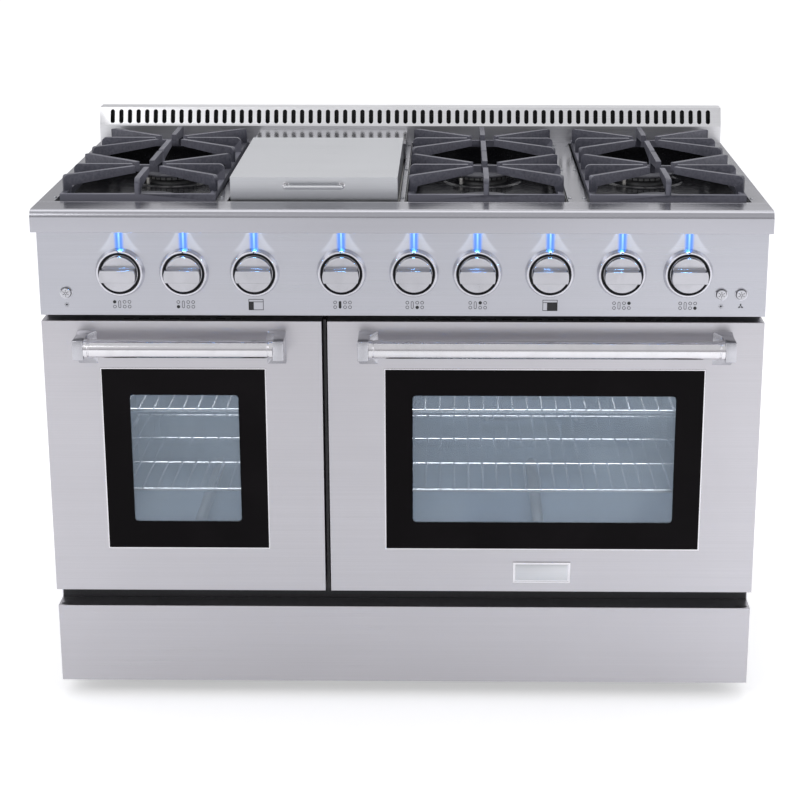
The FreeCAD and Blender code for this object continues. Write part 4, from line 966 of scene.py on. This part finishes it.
# ------------------------------------------------------------------------------ oven doors
@dataclass
class OvenDoor(Assembly):
    """One oven door: skin, black-edged glass, liner, inner glass, handle and hinges.

    Attributes:
        hand: which oven it closes.
        frit_side: width of the glass's black border at its sides.
        frit_top: the same at its top.
        frit_bottom: the same at its bottom.
        bar_radius: of the handle's bar.
        post_width: of each of the handle's posts.
        post_height: of each post.
        foot_width: of the post where it meets the door.
        foot_depth: how far from the door the post starts to flare.
    """

    hand: Hand = Hand.LEFT
    frit_side: float = 0.0475
    frit_top: float = 0.0475
    frit_bottom: float = 0.05
    bar_radius: float = 0.0155
    post_width: float = 0.0185
    post_height: float = 0.034
    foot_width: float = 0.0335
    foot_depth: float = 0.013

    def build(self) -> None:
        """Makes and dresses every piece of the door."""
        side = self.hand.value
        self.soften(f"door_panel_{side}", DOOR_SKIN, 0.0008, merged=False)
        self.window()
        self.dress(f"door_liner_{side}", LINER_ENAMEL)
        self.dress(f"inner_glass_{side}", INNER_GLASS)
        self.dress(f"hinges_{side}", ZINC)
        self.handle()
        self.liner_fittings()

    def window(self) -> None:
        """The black border with a round-cornered opening, the clear pane in it and a bright bead."""
        side = self.hand.value
        low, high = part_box(f"window_{side}")
        pane_low = Vector((low.x + self.frit_side, low.y, low.z + self.frit_bottom))
        pane_high = Vector((high.x - self.frit_side, high.y, high.z - self.frit_top))
        bm = bmesh.new()
        picture_frame(bm, low, high, pane_low, pane_high)
        corners = [edge for edge in bm.edges if abs(edge.verts[0].co.y - edge.verts[1].co.y) > 0.001
                   and pane_low.x - 0.001 < edge.verts[0].co.x < pane_high.x + 0.001]
        rounded(bm, corners, 0.006, 5)
        self.place(f"window_border_{side}", bm, BLACK_GLASS, f"window_{side}", [f"window_{side}"])

        bm = bmesh.new()
        inset = Vector((0.0003, -0.0008, 0.0003))
        made = block(bm, pane_low + inset, pane_high - inset)
        upright = [edge for edge in edges_of(made) if abs(edge.verts[0].co.y - edge.verts[1].co.y) > 0.001]
        rounded(bm, upright, 0.006, 5)
        self.place(f"window_pane_{side}", bm, WINDOW_GLASS, f"window_{side}")

        bm = bmesh.new()
        grown, width = 0.0009, 0.0022
        inward = Vector((width - grown, 0.0, width - grown))
        picture_frame(bm, (low.x - grown, low.y - 0.0012, low.z - grown),
                      (high.x + grown, low.y, high.z + grown), low + inward, high - inward)
        rounded(bm, sharp_edges(bm, 1.0), 0.0003, 2)
        self.place(f"window_bead_{side}", bm, BRIGHT_BAR, f"door_panel_{side}")

    def handle(self) -> None:
        """A bright round bar with collars, held between two posts that flare to the door."""
        side = self.hand.value
        low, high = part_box(f"handle_{side}")
        level = low.z + 0.0375
        axis_y = low.y + self.bar_radius
        start, end = low.x + self.post_width, high.x - self.post_width
        radius = self.bar_radius
        half = (end - start) / 2
        collar = radius + 0.0008
        outline = [(0.0, -half)]
        outline += [(collar, -half), (collar, -half + 0.006), (radius - 0.0008, -half + 0.0066),
                    (radius - 0.0008, -half + 0.0082), (radius, -half + 0.009)]
        outline += [(r, -z) for r, z in reversed(outline[1:])] + [(0.0, half)]
        bm = bmesh.new()
        turning(bm, outline, Side.RIGHT.at(((start + end) / 2, axis_y, level)), steps=64)
        self.place(f"handle_bar_{side}", bm, BRIGHT_BAR, f"handle_{side}", [f"handle_{side}"])

        bm = bmesh.new()
        foot_y = high.y - self.foot_depth
        for inner, outer in ((low.x + self.post_width, low.x), (high.x - self.post_width, high.x)):
            xs = sorted((inner, outer))
            made = block(bm, (xs[0], low.y, level - self.post_height / 2),
                         (xs[1], foot_y, level + self.post_height / 2))
            back = max(faces_of(made), key=lambda face: face.calc_center_median().y)
            flared = bmesh.ops.extrude_discrete_faces(bm, faces=[back])["faces"][0]
            widen = 1 if inner > outer else -1
            for vert in flared.verts:
                vert.co.y = high.y
                if abs(vert.co.x - inner) < 1e-5:
                    vert.co.x = outer + widen * self.foot_width
                vert.co.z = low.z if vert.co.z < level else high.z
            made = list(set(made) | set(flared.verts))
            rounded(bm, edges_of(made), 0.0016, 3)
        self.place(f"handle_posts_{side}", bm, BRIGHT_TURNING, f"handle_{side}")

    def liner_fittings(self) -> None:
        """Screws round the liner's flange and dark strips of painted shade for vent holes along its foot,
        seen when the door is open.
        """
        side = self.hand.value
        low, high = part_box(f"door_liner_{side}")
        skin_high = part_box(f"door_panel_{side}")[1]
        bm = bmesh.new()
        count = 4 if self.hand is Hand.LEFT else 6
        spots = [(low.x + 0.03 + n * (high.x - low.x - 0.06) / (count - 1), skin_high.y, z)
                 for n in range(count) for z in (low.z + 0.014, high.z - 0.014)]
        screw_heads(bm, spots, Side.BACK, 0.0038)
        self.place(f"liner_screws_{side}", bm, ZINC, f"door_liner_{side}")
        # Painted shade: each vent hole is a thin dark strip, not an opening.
        bm = bmesh.new()
        slots = 8 if self.hand is Hand.LEFT else 18
        middle = (low.x + high.x) / 2
        for number in range(slots):
            x = middle + (number - (slots - 1) / 2) * 0.026
            block(bm, (x - 0.008, skin_high.y - 0.03, skin_high.z),
                  (x + 0.008, skin_high.y - 0.026, skin_high.z + 0.0003))
        self.place(f"door_vent_shade_{side}", bm, SHADOW_INSERT, f"door_panel_{side}")


@dataclass
class Badge(Assembly):
    """A blank plate with a raised border on the right door."""

    body: str = "door_right"
    border: float = 0.0035

    def build(self) -> None:
        """A bevelled plate whose middle is sunk and filled with a brushed field."""
        low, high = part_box("badge_plate")
        bm = bmesh.new()
        front = min(faces_of(block(bm, low, high)), key=lambda face: face.calc_center_median().y)
        bmesh.ops.inset_region(bm, faces=[front], thickness=self.border)
        bmesh.ops.inset_region(bm, faces=[front], thickness=0.0004, depth=0.0)
        for vert in front.verts:
            vert.co.y += 0.0009
        rounded(bm, sharp_edges(bm, 0.9), 0.0004)
        self.place("badge_border", bm, BRIGHT_BAR, "badge_plate", ["badge_plate"])
        bm = bmesh.new()
        gap = self.border + 0.0008
        rounded_block(bm, (low.x + gap, low.y + 0.0003, low.z + gap),
                      (high.x - gap, low.y + 0.0012, high.z - gap), 0.0003)
        self.place("badge_field", bm, LID_STEEL, "badge_plate")


# ------------------------------------------------------------------------------ ovens
@dataclass
class Oven(Assembly):
    """One oven: enamelled box, racks, guides, lamp and the seal round its mouth.

    Attributes:
        hand: which oven it is.
        lamp_power: light inside it, in watts.
    """

    hand: Hand = Hand.LEFT
    lamp_power: float = 2.4

    def build(self) -> None:
        """Dresses the box and its racks and adds the wall ribs, screws and light."""
        side = self.hand.value
        self.dress(f"oven_cavity_{side}", OVEN_ENAMEL)
        for level in ("low", "high"):
            self.dress(f"rack_{side}_{level}", RACK_PLATE)
        self.wall_ribs()
        self.light()

    def wall_ribs(self) -> None:
        """Pressed ribs on the back wall and screws that hold the guides."""
        side = self.hand.value
        low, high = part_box(f"oven_cavity_{side}")
        wall = 0.0015
        bm = bmesh.new()
        gap, width = 0.035, 0.012
        rib_low = Vector((low.x + gap, high.y - wall - 0.0025, low.z + gap))
        rib_high = Vector((high.x - gap, high.y - wall, high.z - gap - 0.05))
        inward = Vector((width, 0.0, width))
        picture_frame(bm, rib_low, rib_high, rib_low + inward, rib_high - inward)
        rounded(bm, sharp_edges(bm, 0.9), 0.0012, 3)
        self.place(f"oven_back_rib_{side}", bm, OVEN_ENAMEL, f"oven_cavity_{side}")
        bm = bmesh.new()
        for facing, x in ((Side.RIGHT, low.x + wall), (Side.LEFT, high.x - wall)):
            spots = [(x, low.y + 0.06 + n * 0.18, z) for n in range(3)
                     for z in (low.z + 0.08, low.z + 0.18, low.z + 0.31)]
            screw_heads(bm, spots, facing, 0.0045)
        self.place(f"guide_screws_{side}", bm, RACK_PLATE, "rack_guides")

    def light(self) -> None:
        """A soft light under the oven's roof, as its lamp gives."""
        low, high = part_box(f"oven_cavity_{self.hand.value}")
        area_light(f"oven_light_{self.hand.value}", ((high.x - low.x) * 0.8, 0.2), self.lamp_power,
                   ((low.x + high.x) / 2, low.y + 0.16, high.z - 0.035), colour=(0.93, 0.97, 1.0))


@dataclass
class OvenFittings(Assembly):
    """Parts that both ovens share: guides, lamps, seals, tube burners and the convection fan."""

    def build(self) -> None:
        """Dresses them all and adds the fan cover's screws."""
        self.dress("rack_guides", RACK_PLATE)
        self.soften("oven_lamps", OVEN_LAMP, 0.0035, 3)
        self.dress("door_gaskets", SEAL_BRAID)
        self.dress("tube_burners", ZINC)
        self.dress("fan_cover", OVEN_ENAMEL)
        self.dress("fan_motor", ZINC)
        low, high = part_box("fan_cover")
        bm = bmesh.new()
        screw_heads(bm, [(x, low.y, z) for x in (low.x + 0.012, high.x - 0.012)
                         for z in (low.z + 0.012, high.z - 0.012)], Side.FRONT)
        self.place("fan_cover_screws", bm, ZINC, "fan_cover")
        wheel = Assembly("fan_impeller")
        wheel.dress("fan_impeller", ZINC)
        self.pieces += wheel.pieces


# ------------------------------------------------------------------------------ hob
@dataclass
class Hob(Assembly):
    """Front rail, deck, burner wells, griddle and the slotted guard at the back.

    Attributes:
        slot_shade_gap: distance of the dark sheet of painted shade behind the guard's slots.
    """

    slot_shade_gap: float = 0.0175

    def build(self) -> None:
        """Dresses the deck and adds the dark sheet of painted shade behind the guard's slots and the deck
        screws.
        """
        self.soften("bullnose", RAIL_STEEL, 0.0008)
        self.soften("hob_frame", HOB_STEEL, 0.0007, merged=False)
        self.dress("burner_pans", WELL_ENAMEL)
        self.dress("griddle_plate", PLATE_STEEL)
        self.soften("backguard", GUARD_STEEL, 0.0)
        # Painted shade: a dark sheet behind the guard's slots makes them read as dark openings.
        low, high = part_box("backguard")
        bm = bmesh.new()
        rounded_block(bm, (low.x + 0.003, low.y + self.slot_shade_gap, low.z + 0.002),
                      (high.x - 0.003, low.y + self.slot_shade_gap + 0.001, high.z - 0.003), 0.0003)
        self.place("guard_slot_shade", bm, SHADOW_INSERT, "backguard")
        self.deck_seams()

    def deck_seams(self) -> None:
        """Screws along both sides of each burner well."""
        low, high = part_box("burner_pans")
        bm = bmesh.new()
        for name in ("left", "middle", "right"):
            grate_low, grate_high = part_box(f"grate_{name}")
            spots = [(x, y, high.z + 0.003) for x in (grate_low.x - 0.0095, grate_high.x + 0.0095)
                     for y in (low.y + 0.03, (low.y + high.y) / 2, high.y - 0.03)]
            screw_heads(bm, spots, Side.TOP, 0.0028)
        self.place("deck_screws", bm, ZINC, "hob_frame")


@dataclass
class Burners(Assembly):
    """Six burners: ported heads, enamelled caps, igniters and the wells' spill rings.

    Attributes:
        ports: number of flame ports in a head.
        head_radius: of a burner's head.
        cap_radius: of its cap.
        port_level: height of the ports over the well's floor.
    """

    ports: int = 30
    head_radius: float = 0.052
    cap_radius: float = 0.057
    port_level: float = 0.0105

    def spots(self) -> list[Vector]:
        """Middle of each burner, at the floor of its well."""
        low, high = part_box("burner_caps")
        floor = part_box("burner_heads")[0].z
        names = ("left", "middle", "right")
        across = [(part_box(f"grate_{n}")[0].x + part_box(f"grate_{n}")[1].x) / 2 for n in names]
        along = (low.y + self.cap_radius, high.y - self.cap_radius)
        return [Vector((x, y, floor)) for x in across for y in along]

    def build(self) -> None:
        """Dresses caps, heads and igniters and adds dark blocks of painted shade for the ports, rings and
        wire tips.
        """
        self.caps()
        self.soften("burner_heads", CAST_ALUMINIUM, 0.0)
        self.soften("igniters", PORCELAIN, 0.0006)
        ports = bmesh.new()
        rings = bmesh.new()
        for spot in self.spots():
            # Painted shade: a dark block in the head's rim for the shade in each flame port.
            for number in range(self.ports):
                turn = Matrix.Rotation(math.tau * number / self.ports, 4, "Z")
                made = block(ports, (self.head_radius - 0.004, -0.0011, self.port_level - 0.0022),
                             (self.head_radius + 0.0002, 0.0011, self.port_level + 0.0028))
                bmesh.ops.transform(ports, matrix=Matrix.Translation(spot) @ turn, verts=made)
            outline = [(0.064, 0.0), (0.0665, 0.0016), (0.07, 0.0022), (0.0735, 0.0016), (0.076, 0.0)]
            turning(rings, outline + [outline[0]], Matrix.Translation(spot), steps=40)
        self.place("burner_port_shade", ports, SHADOW_INSERT, "burner_heads")
        self.place("well_rings", rings, WELL_ENAMEL, "burner_pans")
        tip_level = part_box("igniters")[1].z
        tips = bmesh.new()
        offset = 0.053 * math.sqrt(0.5) + 0.003
        for spot in self.spots():
            outline = [(0.0, 0.0), (0.0009, 0.0), (0.0009, 0.004), (0.0, 0.0046)]
            turning(tips, outline, Matrix.Translation((spot.x - offset, spot.y - offset, tip_level)), steps=8)
        self.place("igniter_tips", tips, ZINC, "igniters")

    def caps(self) -> None:
        """Caps turned with a soft shoulder, a shallow step and a slightly crowned top."""
        low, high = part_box("burner_caps")
        height = high.z - low.z
        r = self.cap_radius
        outline = [(0.0, 0.0), (r - 0.003, 0.0), (r - 0.0006, 0.001), (r, 0.003), (r - 0.0008, 0.0048),
                   (r - 0.003, 0.0062), (r - 0.0085, 0.0072), (r - 0.0105, 0.0078), (r - 0.0118, height),
                   (r - 0.02, height), (0.02, height - 0.0004), (0.0, height - 0.0004)]
        bm = bmesh.new()
        for spot in self.spots():
            turning(bm, outline, Matrix.Translation((spot.x, spot.y, low.z)), steps=56)
        self.place("burner_cap_tops", bm, CAP_ENAMEL, "burner_caps", ["burner_caps"], crease=50.0)


@dataclass
class Grates(Assembly):
    """The three cast grates, each on its own body."""

    def build(self) -> None:
        """Rounds each grate's edges and dresses it."""
        for name in ("left", "middle", "right"):
            grate = Assembly(f"grate_{name}")
            grate.soften(f"grate_{name}", CAST_IRON, 0.0012, 2)
            self.pieces += grate.pieces


@dataclass
class GriddleCover(Assembly):
    """The lift-off lid over the griddle with its wire handle."""

    body: str = "griddle_cover"

    def build(self) -> None:
        """Rounds the folded edges of the lid and puts washers under the handle."""
        self.soften("griddle_cover", LID_STEEL, 0.0011)
        low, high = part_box("griddle_cover")
        front = low.y + 0.02
        level = high.z - 0.014
        middle = (low.x + high.x) / 2
        bm = bmesh.new()
        for side in (-1, 1):
            spot = Side.FRONT.at((middle + side * 0.0465, front, level))
            outline = [(0.003, 0.0), (0.0058, 0.0), (0.0054, 0.001), (0.0034, 0.0014), (0.003, 0.0)]
            turning(bm, outline, spot, 24)
        self.place("cover_washers", bm, BRIGHT_BAR, "griddle_cover")


# ------------------------------------------------------------------------------ controls
KNOBS = (
    ("burner_back_left", Mark.BACK_LEFT), ("burner_front_left", Mark.FRONT_LEFT),
    ("oven_left", Mark.OVEN_LEFT), ("griddle", Mark.GRIDDLE),
    ("burner_front_middle", Mark.FRONT_MIDDLE), ("burner_back_middle", Mark.BACK_MIDDLE),
    ("oven_right", Mark.OVEN_RIGHT), ("burner_back_right", Mark.BACK_RIGHT),
    ("burner_front_right", Mark.FRONT_RIGHT),
)
BUTTONS = ("light_left", "light_right", "convection")


@dataclass
class ControlPanel(Assembly):
    """The fascia with its printed diagrams, bezels, knob lamps and valves.

    Attributes:
        column: spacing of a diagram's columns.
        row: half the spacing of its rows.
        dot: radius of its dots.
        line: width of its lines.
        ink_height: how far print stands off the panel.
        diagram_level: height of the diagrams' middles.
    """

    column: float = 0.0083
    row: float = 0.0041
    dot: float = 0.0029
    line: float = 0.00085
    ink_height: float = 0.00025
    diagram_level: float = 0.7236

    def middles(self) -> list[Vector]:
        """Middle of each knob on the face of the panel."""
        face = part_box("control_panel")[0].y
        boxes = [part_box(f"knob_{name}") for name, _ in KNOBS]
        return [Vector(((low.x + high.x) / 2, face, (low.z + high.z) / 2)) for low, high in boxes]

    def build(self) -> None:
        """Makes and dresses the panel and everything fixed to it."""
        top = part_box("control_panel")[1].z
        lamps = tuple(spot.x for spot in self.middles())
        panel = LitSteel("panel_steel_painted_glow", (0.545, 0.55, 0.59), 0.3, lamps=lamps, level=top)
        self.soften("control_panel", panel, 0.0008)
        self.soften("knob_bezels", BRIGHT_CONE, 0.0009, 3)
        self.dress("gas_manifold", ZINC)
        self.dress("gas_valves", BRASS)
        self.dress("service_inlets", BRASS)
        self.power_inlet()
        self.wells()
        self.knob_lamps(top)
        self.diagrams()
        self.labels()

    def power_inlet(self) -> None:
        """The power inlet's black moulding, with three pins in its sunk face."""
        _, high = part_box("service_inlets")
        skin = 0.0004
        low = Vector((0.44 - skin, high.y - 0.03, 0.107 - skin))
        high = Vector((high.x + skin, high.y - 0.0002, 0.143 + skin))
        bm = bmesh.new()
        made = block(bm, low, high)
        face = next(f for f in faces_of(made) if f.normal.y > FLAT)
        rounded(bm, [e for e in edges_of(made) if e not in face.edges[:]], 0.0008, 2)
        face = max((f for f in bm.faces if f.normal.y > FLAT), key=lambda f: f.calc_area())
        bmesh.ops.inset_region(bm, faces=[face], thickness=0.0045, use_even_offset=True)
        bmesh.ops.inset_region(bm, faces=[face], thickness=0.0004, depth=-0.0013, use_even_offset=True)
        self.place("power_inlet_moulding", bm, MOULDING, "service_inlets")
        pins = bmesh.new()
        middle = (low + high) / 2
        for across, up in ((-0.0075, -0.002), (0.0, 0.003), (0.0075, -0.002)):
            rounded_block(pins, (middle.x + across - 0.001, high.y - 0.0016, middle.z + up - 0.003),
                          (middle.x + across + 0.001, high.y - 0.0004, middle.z + up + 0.003), 0.0003)
        self.place("power_inlet_pins", pins, ZINC, "service_inlets")

    def wells(self) -> None:
        """Dark discs of painted shade in the bezels, for the gap round each knob, and the index dot on each
        bezel.
        """
        wells, dots = bmesh.new(), bmesh.new()
        for spot in self.middles():
            # Painted shade: a dark disc for the shadowed gap between knob and bezel.
            washer(wells, Side.FRONT.at(spot), 0.0349, 0.0075, 0.0006, 48)
            disc(dots, Side.FRONT.at(spot + Vector((0.0, -0.0098, 0.0368))), 0.0012, 0.0005, 12)
        self.place("knob_gap_shade", wells, SHADOW_INSERT, "control_panel")
        self.place("index_dots", dots, INK, "knob_bezels")

    def knob_lamps(self, top: float) -> None:
        """A small lens over each knob, with a soft blue lamp that lights the bezel and the knob."""
        lenses = bmesh.new()
        for number, spot in enumerate(self.middles()):
            rounded_block(lenses, (spot.x - 0.006, spot.y - 0.009, top - 0.0022),
                          (spot.x + 0.006, spot.y - 0.002, top), 0.0012)
            area_light(f"knob_light_{number}", (0.012, 0.008), 0.035,
                       spot + Vector((0.0, -0.014, top - spot.z - 0.004)),
                       (math.radians(-12), 0.0, 0.0), (0.16, 0.45, 1.0))
        self.place("knob_lamps", lenses, KNOB_LAMP, "control_panel")

    def diagrams(self) -> None:
        """Under each knob, which burner or oven it serves."""
        bm = bmesh.new()
        for spot, (_, mark) in zip(self.middles(), KNOBS):
            middle = Vector((spot.x + 0.001, spot.y, self.diagram_level))
            column, row = mark.value
            if column < 0:
                self.oven_sign(bm, middle, row)
            else:
                self.burner_sign(bm, middle, column, row)
        self.place("knob_diagrams", bm, INK, "control_panel")

    def burner_sign(self, bm: BMesh, middle: Vector, column: int, row: int) -> None:
        """Three pairs of rings and an oval, with one of them filled.

        Args:
            bm: the mesh that gets them.
            middle: the diagram's middle.
            column: which column is filled.
            row: which row is filled, 0 for the oval.
        """
        for place in range(4):
            x = middle.x + (place - 1.5) * self.column
            if place == 1:
                turn = Side.FRONT.at((x, middle.y, middle.z))
                wall = 0.0 if (column, row) == (1, 0) else self.line
                stadium(bm, turn, 0.0042, 0.0023, self.ink_height, wall)
                continue
            for level in (-1, 1):
                turn = Side.FRONT.at((x, middle.y, middle.z + level * self.row))
                if (place, level) == (column, row):
                    disc(bm, turn, self.dot, self.ink_height, 16)
                else:
                    washer(bm, turn, self.dot, self.dot - self.line, self.ink_height, 16)

    def oven_sign(self, bm: BMesh, middle: Vector, side: int) -> None:
        """An outline of the range with one oven filled.

        Args:
            bm: the mesh that gets it.
            middle: the sign's middle.
            side: -1 for the left oven, 1 for the right.
        """
        half_x, half_z, line = 0.0125, 0.0095, 0.0009
        front, back = middle.y - self.ink_height, middle.y
        split = middle.x - 0.0045
        bars = [
            (-half_x, half_x, half_z - line, half_z), (-half_x, half_x, half_z - 0.0052, half_z - 0.0043),
            (-half_x, half_x, -half_z, -half_z + line), (-half_x, -half_x + line, -half_z, half_z),
            (half_x - line, half_x, -half_z, half_z),
            (split - middle.x - line / 2, split - middle.x + line / 2, -half_z, half_z - 0.0043),
        ]
        filled = (-half_x, split - middle.x) if side < 0 else (split - middle.x, half_x)
        bars.append((*filled, -half_z, half_z - 0.0052))
        for x0, x1, z0, z1 in bars:
            block(bm, (middle.x + x0, front, middle.z + z0), (middle.x + x1, back, middle.z + z1))

    def labels(self) -> None:
        """Wordless signs under the three buttons: a lamp, a lamp and a fan."""
        bm = bmesh.new()
        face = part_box("control_panel")[0].y
        for name in BUTTONS:
            low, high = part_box(f"button_{name}")
            middle = Vector(((low.x + high.x) / 2, face, low.z - 0.0125))
            if name == "convection":
                for number in range(3):
                    turn = Side.FRONT.at(middle) @ Matrix.Rotation(math.tau * number / 3, 4, "Z")
                    turn = turn @ Matrix.Translation((0, 0.0026, 0))
                    stadium(bm, turn, 0.0008, 0.0012, self.ink_height, 0.0)
            else:
                disc(bm, Side.FRONT.at(middle), 0.0017, self.ink_height, 14)
                for number in range(8):
                    turn = Side.FRONT.at(middle) @ Matrix.Rotation(math.tau * number / 8, 4, "Z")
                    made = block(bm, (-0.0003, 0.0025, 0.0), (0.0003, 0.0042, self.ink_height))
                    bmesh.ops.transform(bm, matrix=turn, verts=made)
        self.place("button_signs", bm, INK, "control_panel")


@dataclass
class Knobs(Assembly):
    """Nine turned knobs with a broad grip and a bright rim."""

    def build(self) -> None:
        """Rounds each knob, dresses it and adds its rim ring."""
        for name, _ in KNOBS:
            knob = Assembly(f"knob_{name}")
            node = f"knob_{name}"
            knob.soften(node, BRIGHT_TURNING, 0.0016, 3)
            low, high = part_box(node)
            middle_x, middle_z = (low.x + high.x) / 2, (low.z + high.z) / 2
            radius = (high.x - low.x) / 2
            bm = bmesh.new()
            ring = [(radius - 0.0012, 0.0), (radius + 0.0004, 0.0006), (radius + 0.0006, 0.0018),
                    (radius + 0.0004, 0.003), (radius - 0.0012, 0.0036), (radius - 0.0012, 0.0)]
            turning(bm, ring, Side.FRONT.at((middle_x, high.y - 0.0015, middle_z)), 56)
            knob.place(f"{node}_rim", bm, BRIGHT_CONE, node)
            self.pieces += knob.pieces


@dataclass
class Buttons(Assembly):
    """Three push buttons with a domed face, a bright collar and a sunburst sign."""

    def build(self) -> None:
        """Rounds each button and adds its collar and its sign."""
        collars = bmesh.new()
        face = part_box("control_panel")[0].y
        for name in BUTTONS:
            button = Assembly(f"button_{name}")
            node = f"button_{name}"
            button.soften(node, BRIGHT_TURNING, 0.0012, 3)
            low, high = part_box(node)
            middle = Vector(((low.x + high.x) / 2, low.y, (low.z + high.z) / 2))
            bm = bmesh.new()
            place = Side.FRONT.at(middle + Vector((0, 0.0001, 0)))
            washer(bm, place, 0.0024, 0.0017, 0.0003, 18)
            for number in range(6):
                made = block(bm, (-0.0004, 0.0034, 0.0), (0.0004, 0.0058, 0.0003))
                turn = place @ Matrix.Rotation(math.tau * number / 6, 4, "Z")
                bmesh.ops.transform(bm, matrix=turn, verts=made)
            button.place(f"{node}_sign", bm, INK, node)
            self.pieces += button.pieces
            rim = (high.x - low.x) / 2
            outline = [(rim + 0.0005, 0.0), (rim + 0.0026, 0.0), (rim + 0.0022, 0.0012),
                       (rim + 0.0009, 0.0016), (rim + 0.0005, 0.0)]
            turning(collars, outline, Side.FRONT.at((middle.x, face, middle.z)), 32)
        self.place("button_collars", collars, BRIGHT_CONE, "control_panel")


# ------------------------------------------------------------------------------ studio
@dataclass
class Studio:
    """Pale floor, soft light and the camera.

    Attributes:
        eye: where the camera stands.
        pitch: how far it looks down, in degrees.
        yaw: how far it is turned to the left, in degrees.
        focal: its focal length as a share of its sensor's width.
        shift: of the camera's frame.
        floor_half: half the width of the floor.
        paper_glow: the floor's own light in reflections and to the camera.
    """

    eye: tuple[float, float, float] = (0.082, -3.3515, 1.53)
    pitch: float = 15.75
    yaw: float = 0.64
    focal: float = 2.35375
    shift: tuple[float, float] = (-0.0385, -0.08)
    floor_half: float = 14.0
    paper_glow: tuple[float, float] = (0.26, 0.42)

    def build(self) -> None:
        """Makes the floor, the surroundings, the lights and the camera."""
        self.floor()
        self.surroundings()
        for name, place, target, size, power in (
                ("key_light", (-2.6, -3.2, 3.4), (0.0, 0.0, 0.5), (2.4, 1.8), 30.0),
                ("fill_light", (3.2, -2.6, 2.2), (0.0, 0.0, 0.5), (1.6, 2.4), 16.0),
                ("top_light", (0.0, 0.4, 3.2), (0.0, 0.0, 0.9), (3.0, 1.6), 14.0),
                ("back_light", (0.4, 3.2, 2.6), (0.0, 0.3, 0.6), (3.0, 1.6), 8.0)):
            look = (Vector(target) - Vector(place)).to_track_quat("-Z", "Y").to_euler()
            area_light(name, size, power, place, look)
        self.camera()

    def floor(self) -> None:
        """A wide pale floor that curves up at its edges."""
        bm = bmesh.new()
        made = bmesh.ops.create_grid(bm, x_segments=8, y_segments=8, size=self.floor_half)["verts"]
        for vert in made:
            edge = max(abs(vert.co.x), abs(vert.co.y)) / self.floor_half
            vert.co.z = -0.0005 + 1.2 * max(0.0, edge - 0.8)
        mesh = bpy.data.meshes.new("studio_floor")
        bm.to_mesh(mesh)
        bm.free()
        material = bpy.data.materials.new("floor_paper")
        material.use_nodes = True
        graph = Graph(material.node_tree)
        shader = material.node_tree.nodes["Principled BSDF"]
        tone = graph.span(graph.noise(graph.place(), 1.5, 2.0), 0.3, 0.7)
        paper = graph.mix(tone, (0.86, 0.86, 0.865), (0.88, 0.88, 0.885))
        # Painted shade in reflections: there the floor's colour is darkest near x -0.2 and lighter towards
        # each side, while the camera sees plain paper.
        across = graph.add("SeparateXYZ", {0: graph.place()}).outputs[0]
        level = graph.plus(graph.span(across, -0.2, 1.1, 0.73, 1.06),
                           graph.span(across, -1.1, -0.2, 0.2, 0.0))
        reflected_painted_shade = graph.add("CombineColor", {0: level, 1: level, 2: graph.times(level, 1.02)}).outputs[0]
        seen = graph.add("LightPath").outputs["Is Camera Ray"]
        graph.tree.links.new(graph.mix(seen, reflected_painted_shade, paper), shader.inputs["Base Color"])
        shader.inputs["Roughness"].default_value = 0.8
        shader.inputs["Emission Color"].default_value = (1.0, 1.0, 1.0, 1.0)
        glow = graph.span(seen, 0.0, 1.0, self.paper_glow[0], self.paper_glow[1])
        graph.tree.links.new(glow, shader.inputs["Emission Strength"])
        mesh.materials.append(material)
        plane = bpy.data.objects.new("studio_floor", mesh)
        bpy.context.scene.collection.objects.link(plane)

    def surroundings(self) -> None:
        """White to the eye; in reflections a bright roof, pale sides and a darker band ahead."""
        world = bpy.data.worlds.new("studio_room")
        world.use_nodes = True
        bpy.context.scene.world = world
        nodes = world.node_tree.nodes
        graph = Graph(world.node_tree)
        parts = graph.parts(graph.add("TexCoord").outputs["Generated"])
        height = graph.span(parts[2], -0.02, 0.5, 0.34, 0.66)
        aside = graph.math("ABSOLUTE", parts[0])
        sides = graph.span(aside, 0.35, 0.95, 0.0, 0.35)
        level = graph.plus(height, sides)
        seen = graph.add("LightPath").outputs["Is Camera Ray"]
        tinted = graph.add("CombineColor", {0: level, 1: level, 2: graph.times(level, 1.03)}).outputs[0]
        tone = graph.mix(seen, tinted, (1.0, 1.0, 1.0))
        graph.tree.links.new(tone, nodes["Background"].inputs["Color"])

    def camera(self) -> None:
        """The camera, level and slightly turned."""
        lens = bpy.data.cameras.new("main_camera")
        lens.sensor_width = 36.0
        lens.lens = self.focal * lens.sensor_width
        lens.shift_x, lens.shift_y = self.shift
        lens.clip_end = 60.0
        camera = bpy.data.objects.new("main_camera", lens)
        camera.location = self.eye
        camera.rotation_euler = (math.radians(90.0 - self.pitch), 0.0, math.radians(self.yaw))
        bpy.context.scene.collection.objects.link(camera)
        bpy.context.scene.camera = camera
        bpy.context.scene.view_settings.view_transform = "Standard"


def main() -> None:
    """Builds every sub-assembly in order and reports each piece."""
    logging.basicConfig(level=logging.INFO, format="%(message)s")
    assemblies: list[Assembly] = [
        Casing(),
        OvenDoor("door_left", hand=Hand.LEFT), OvenDoor("door_right", hand=Hand.RIGHT), Badge(),
        Oven(hand=Hand.LEFT, lamp_power=1.6), Oven(hand=Hand.RIGHT, lamp_power=3.0), OvenFittings(),
        Hob(), Burners(), Grates(), GriddleCover(), ControlPanel(), Knobs(), Buttons(),
    ]
    for assembly in assemblies:
        assembly.build()
    Studio().build()
    for assembly in assemblies:
        for piece in assembly.pieces:
            log.info("%s: %s, %d faces", type(assembly).__name__, piece.name, len(piece.data.polygons))


if __name__ == "__main__":
    main()
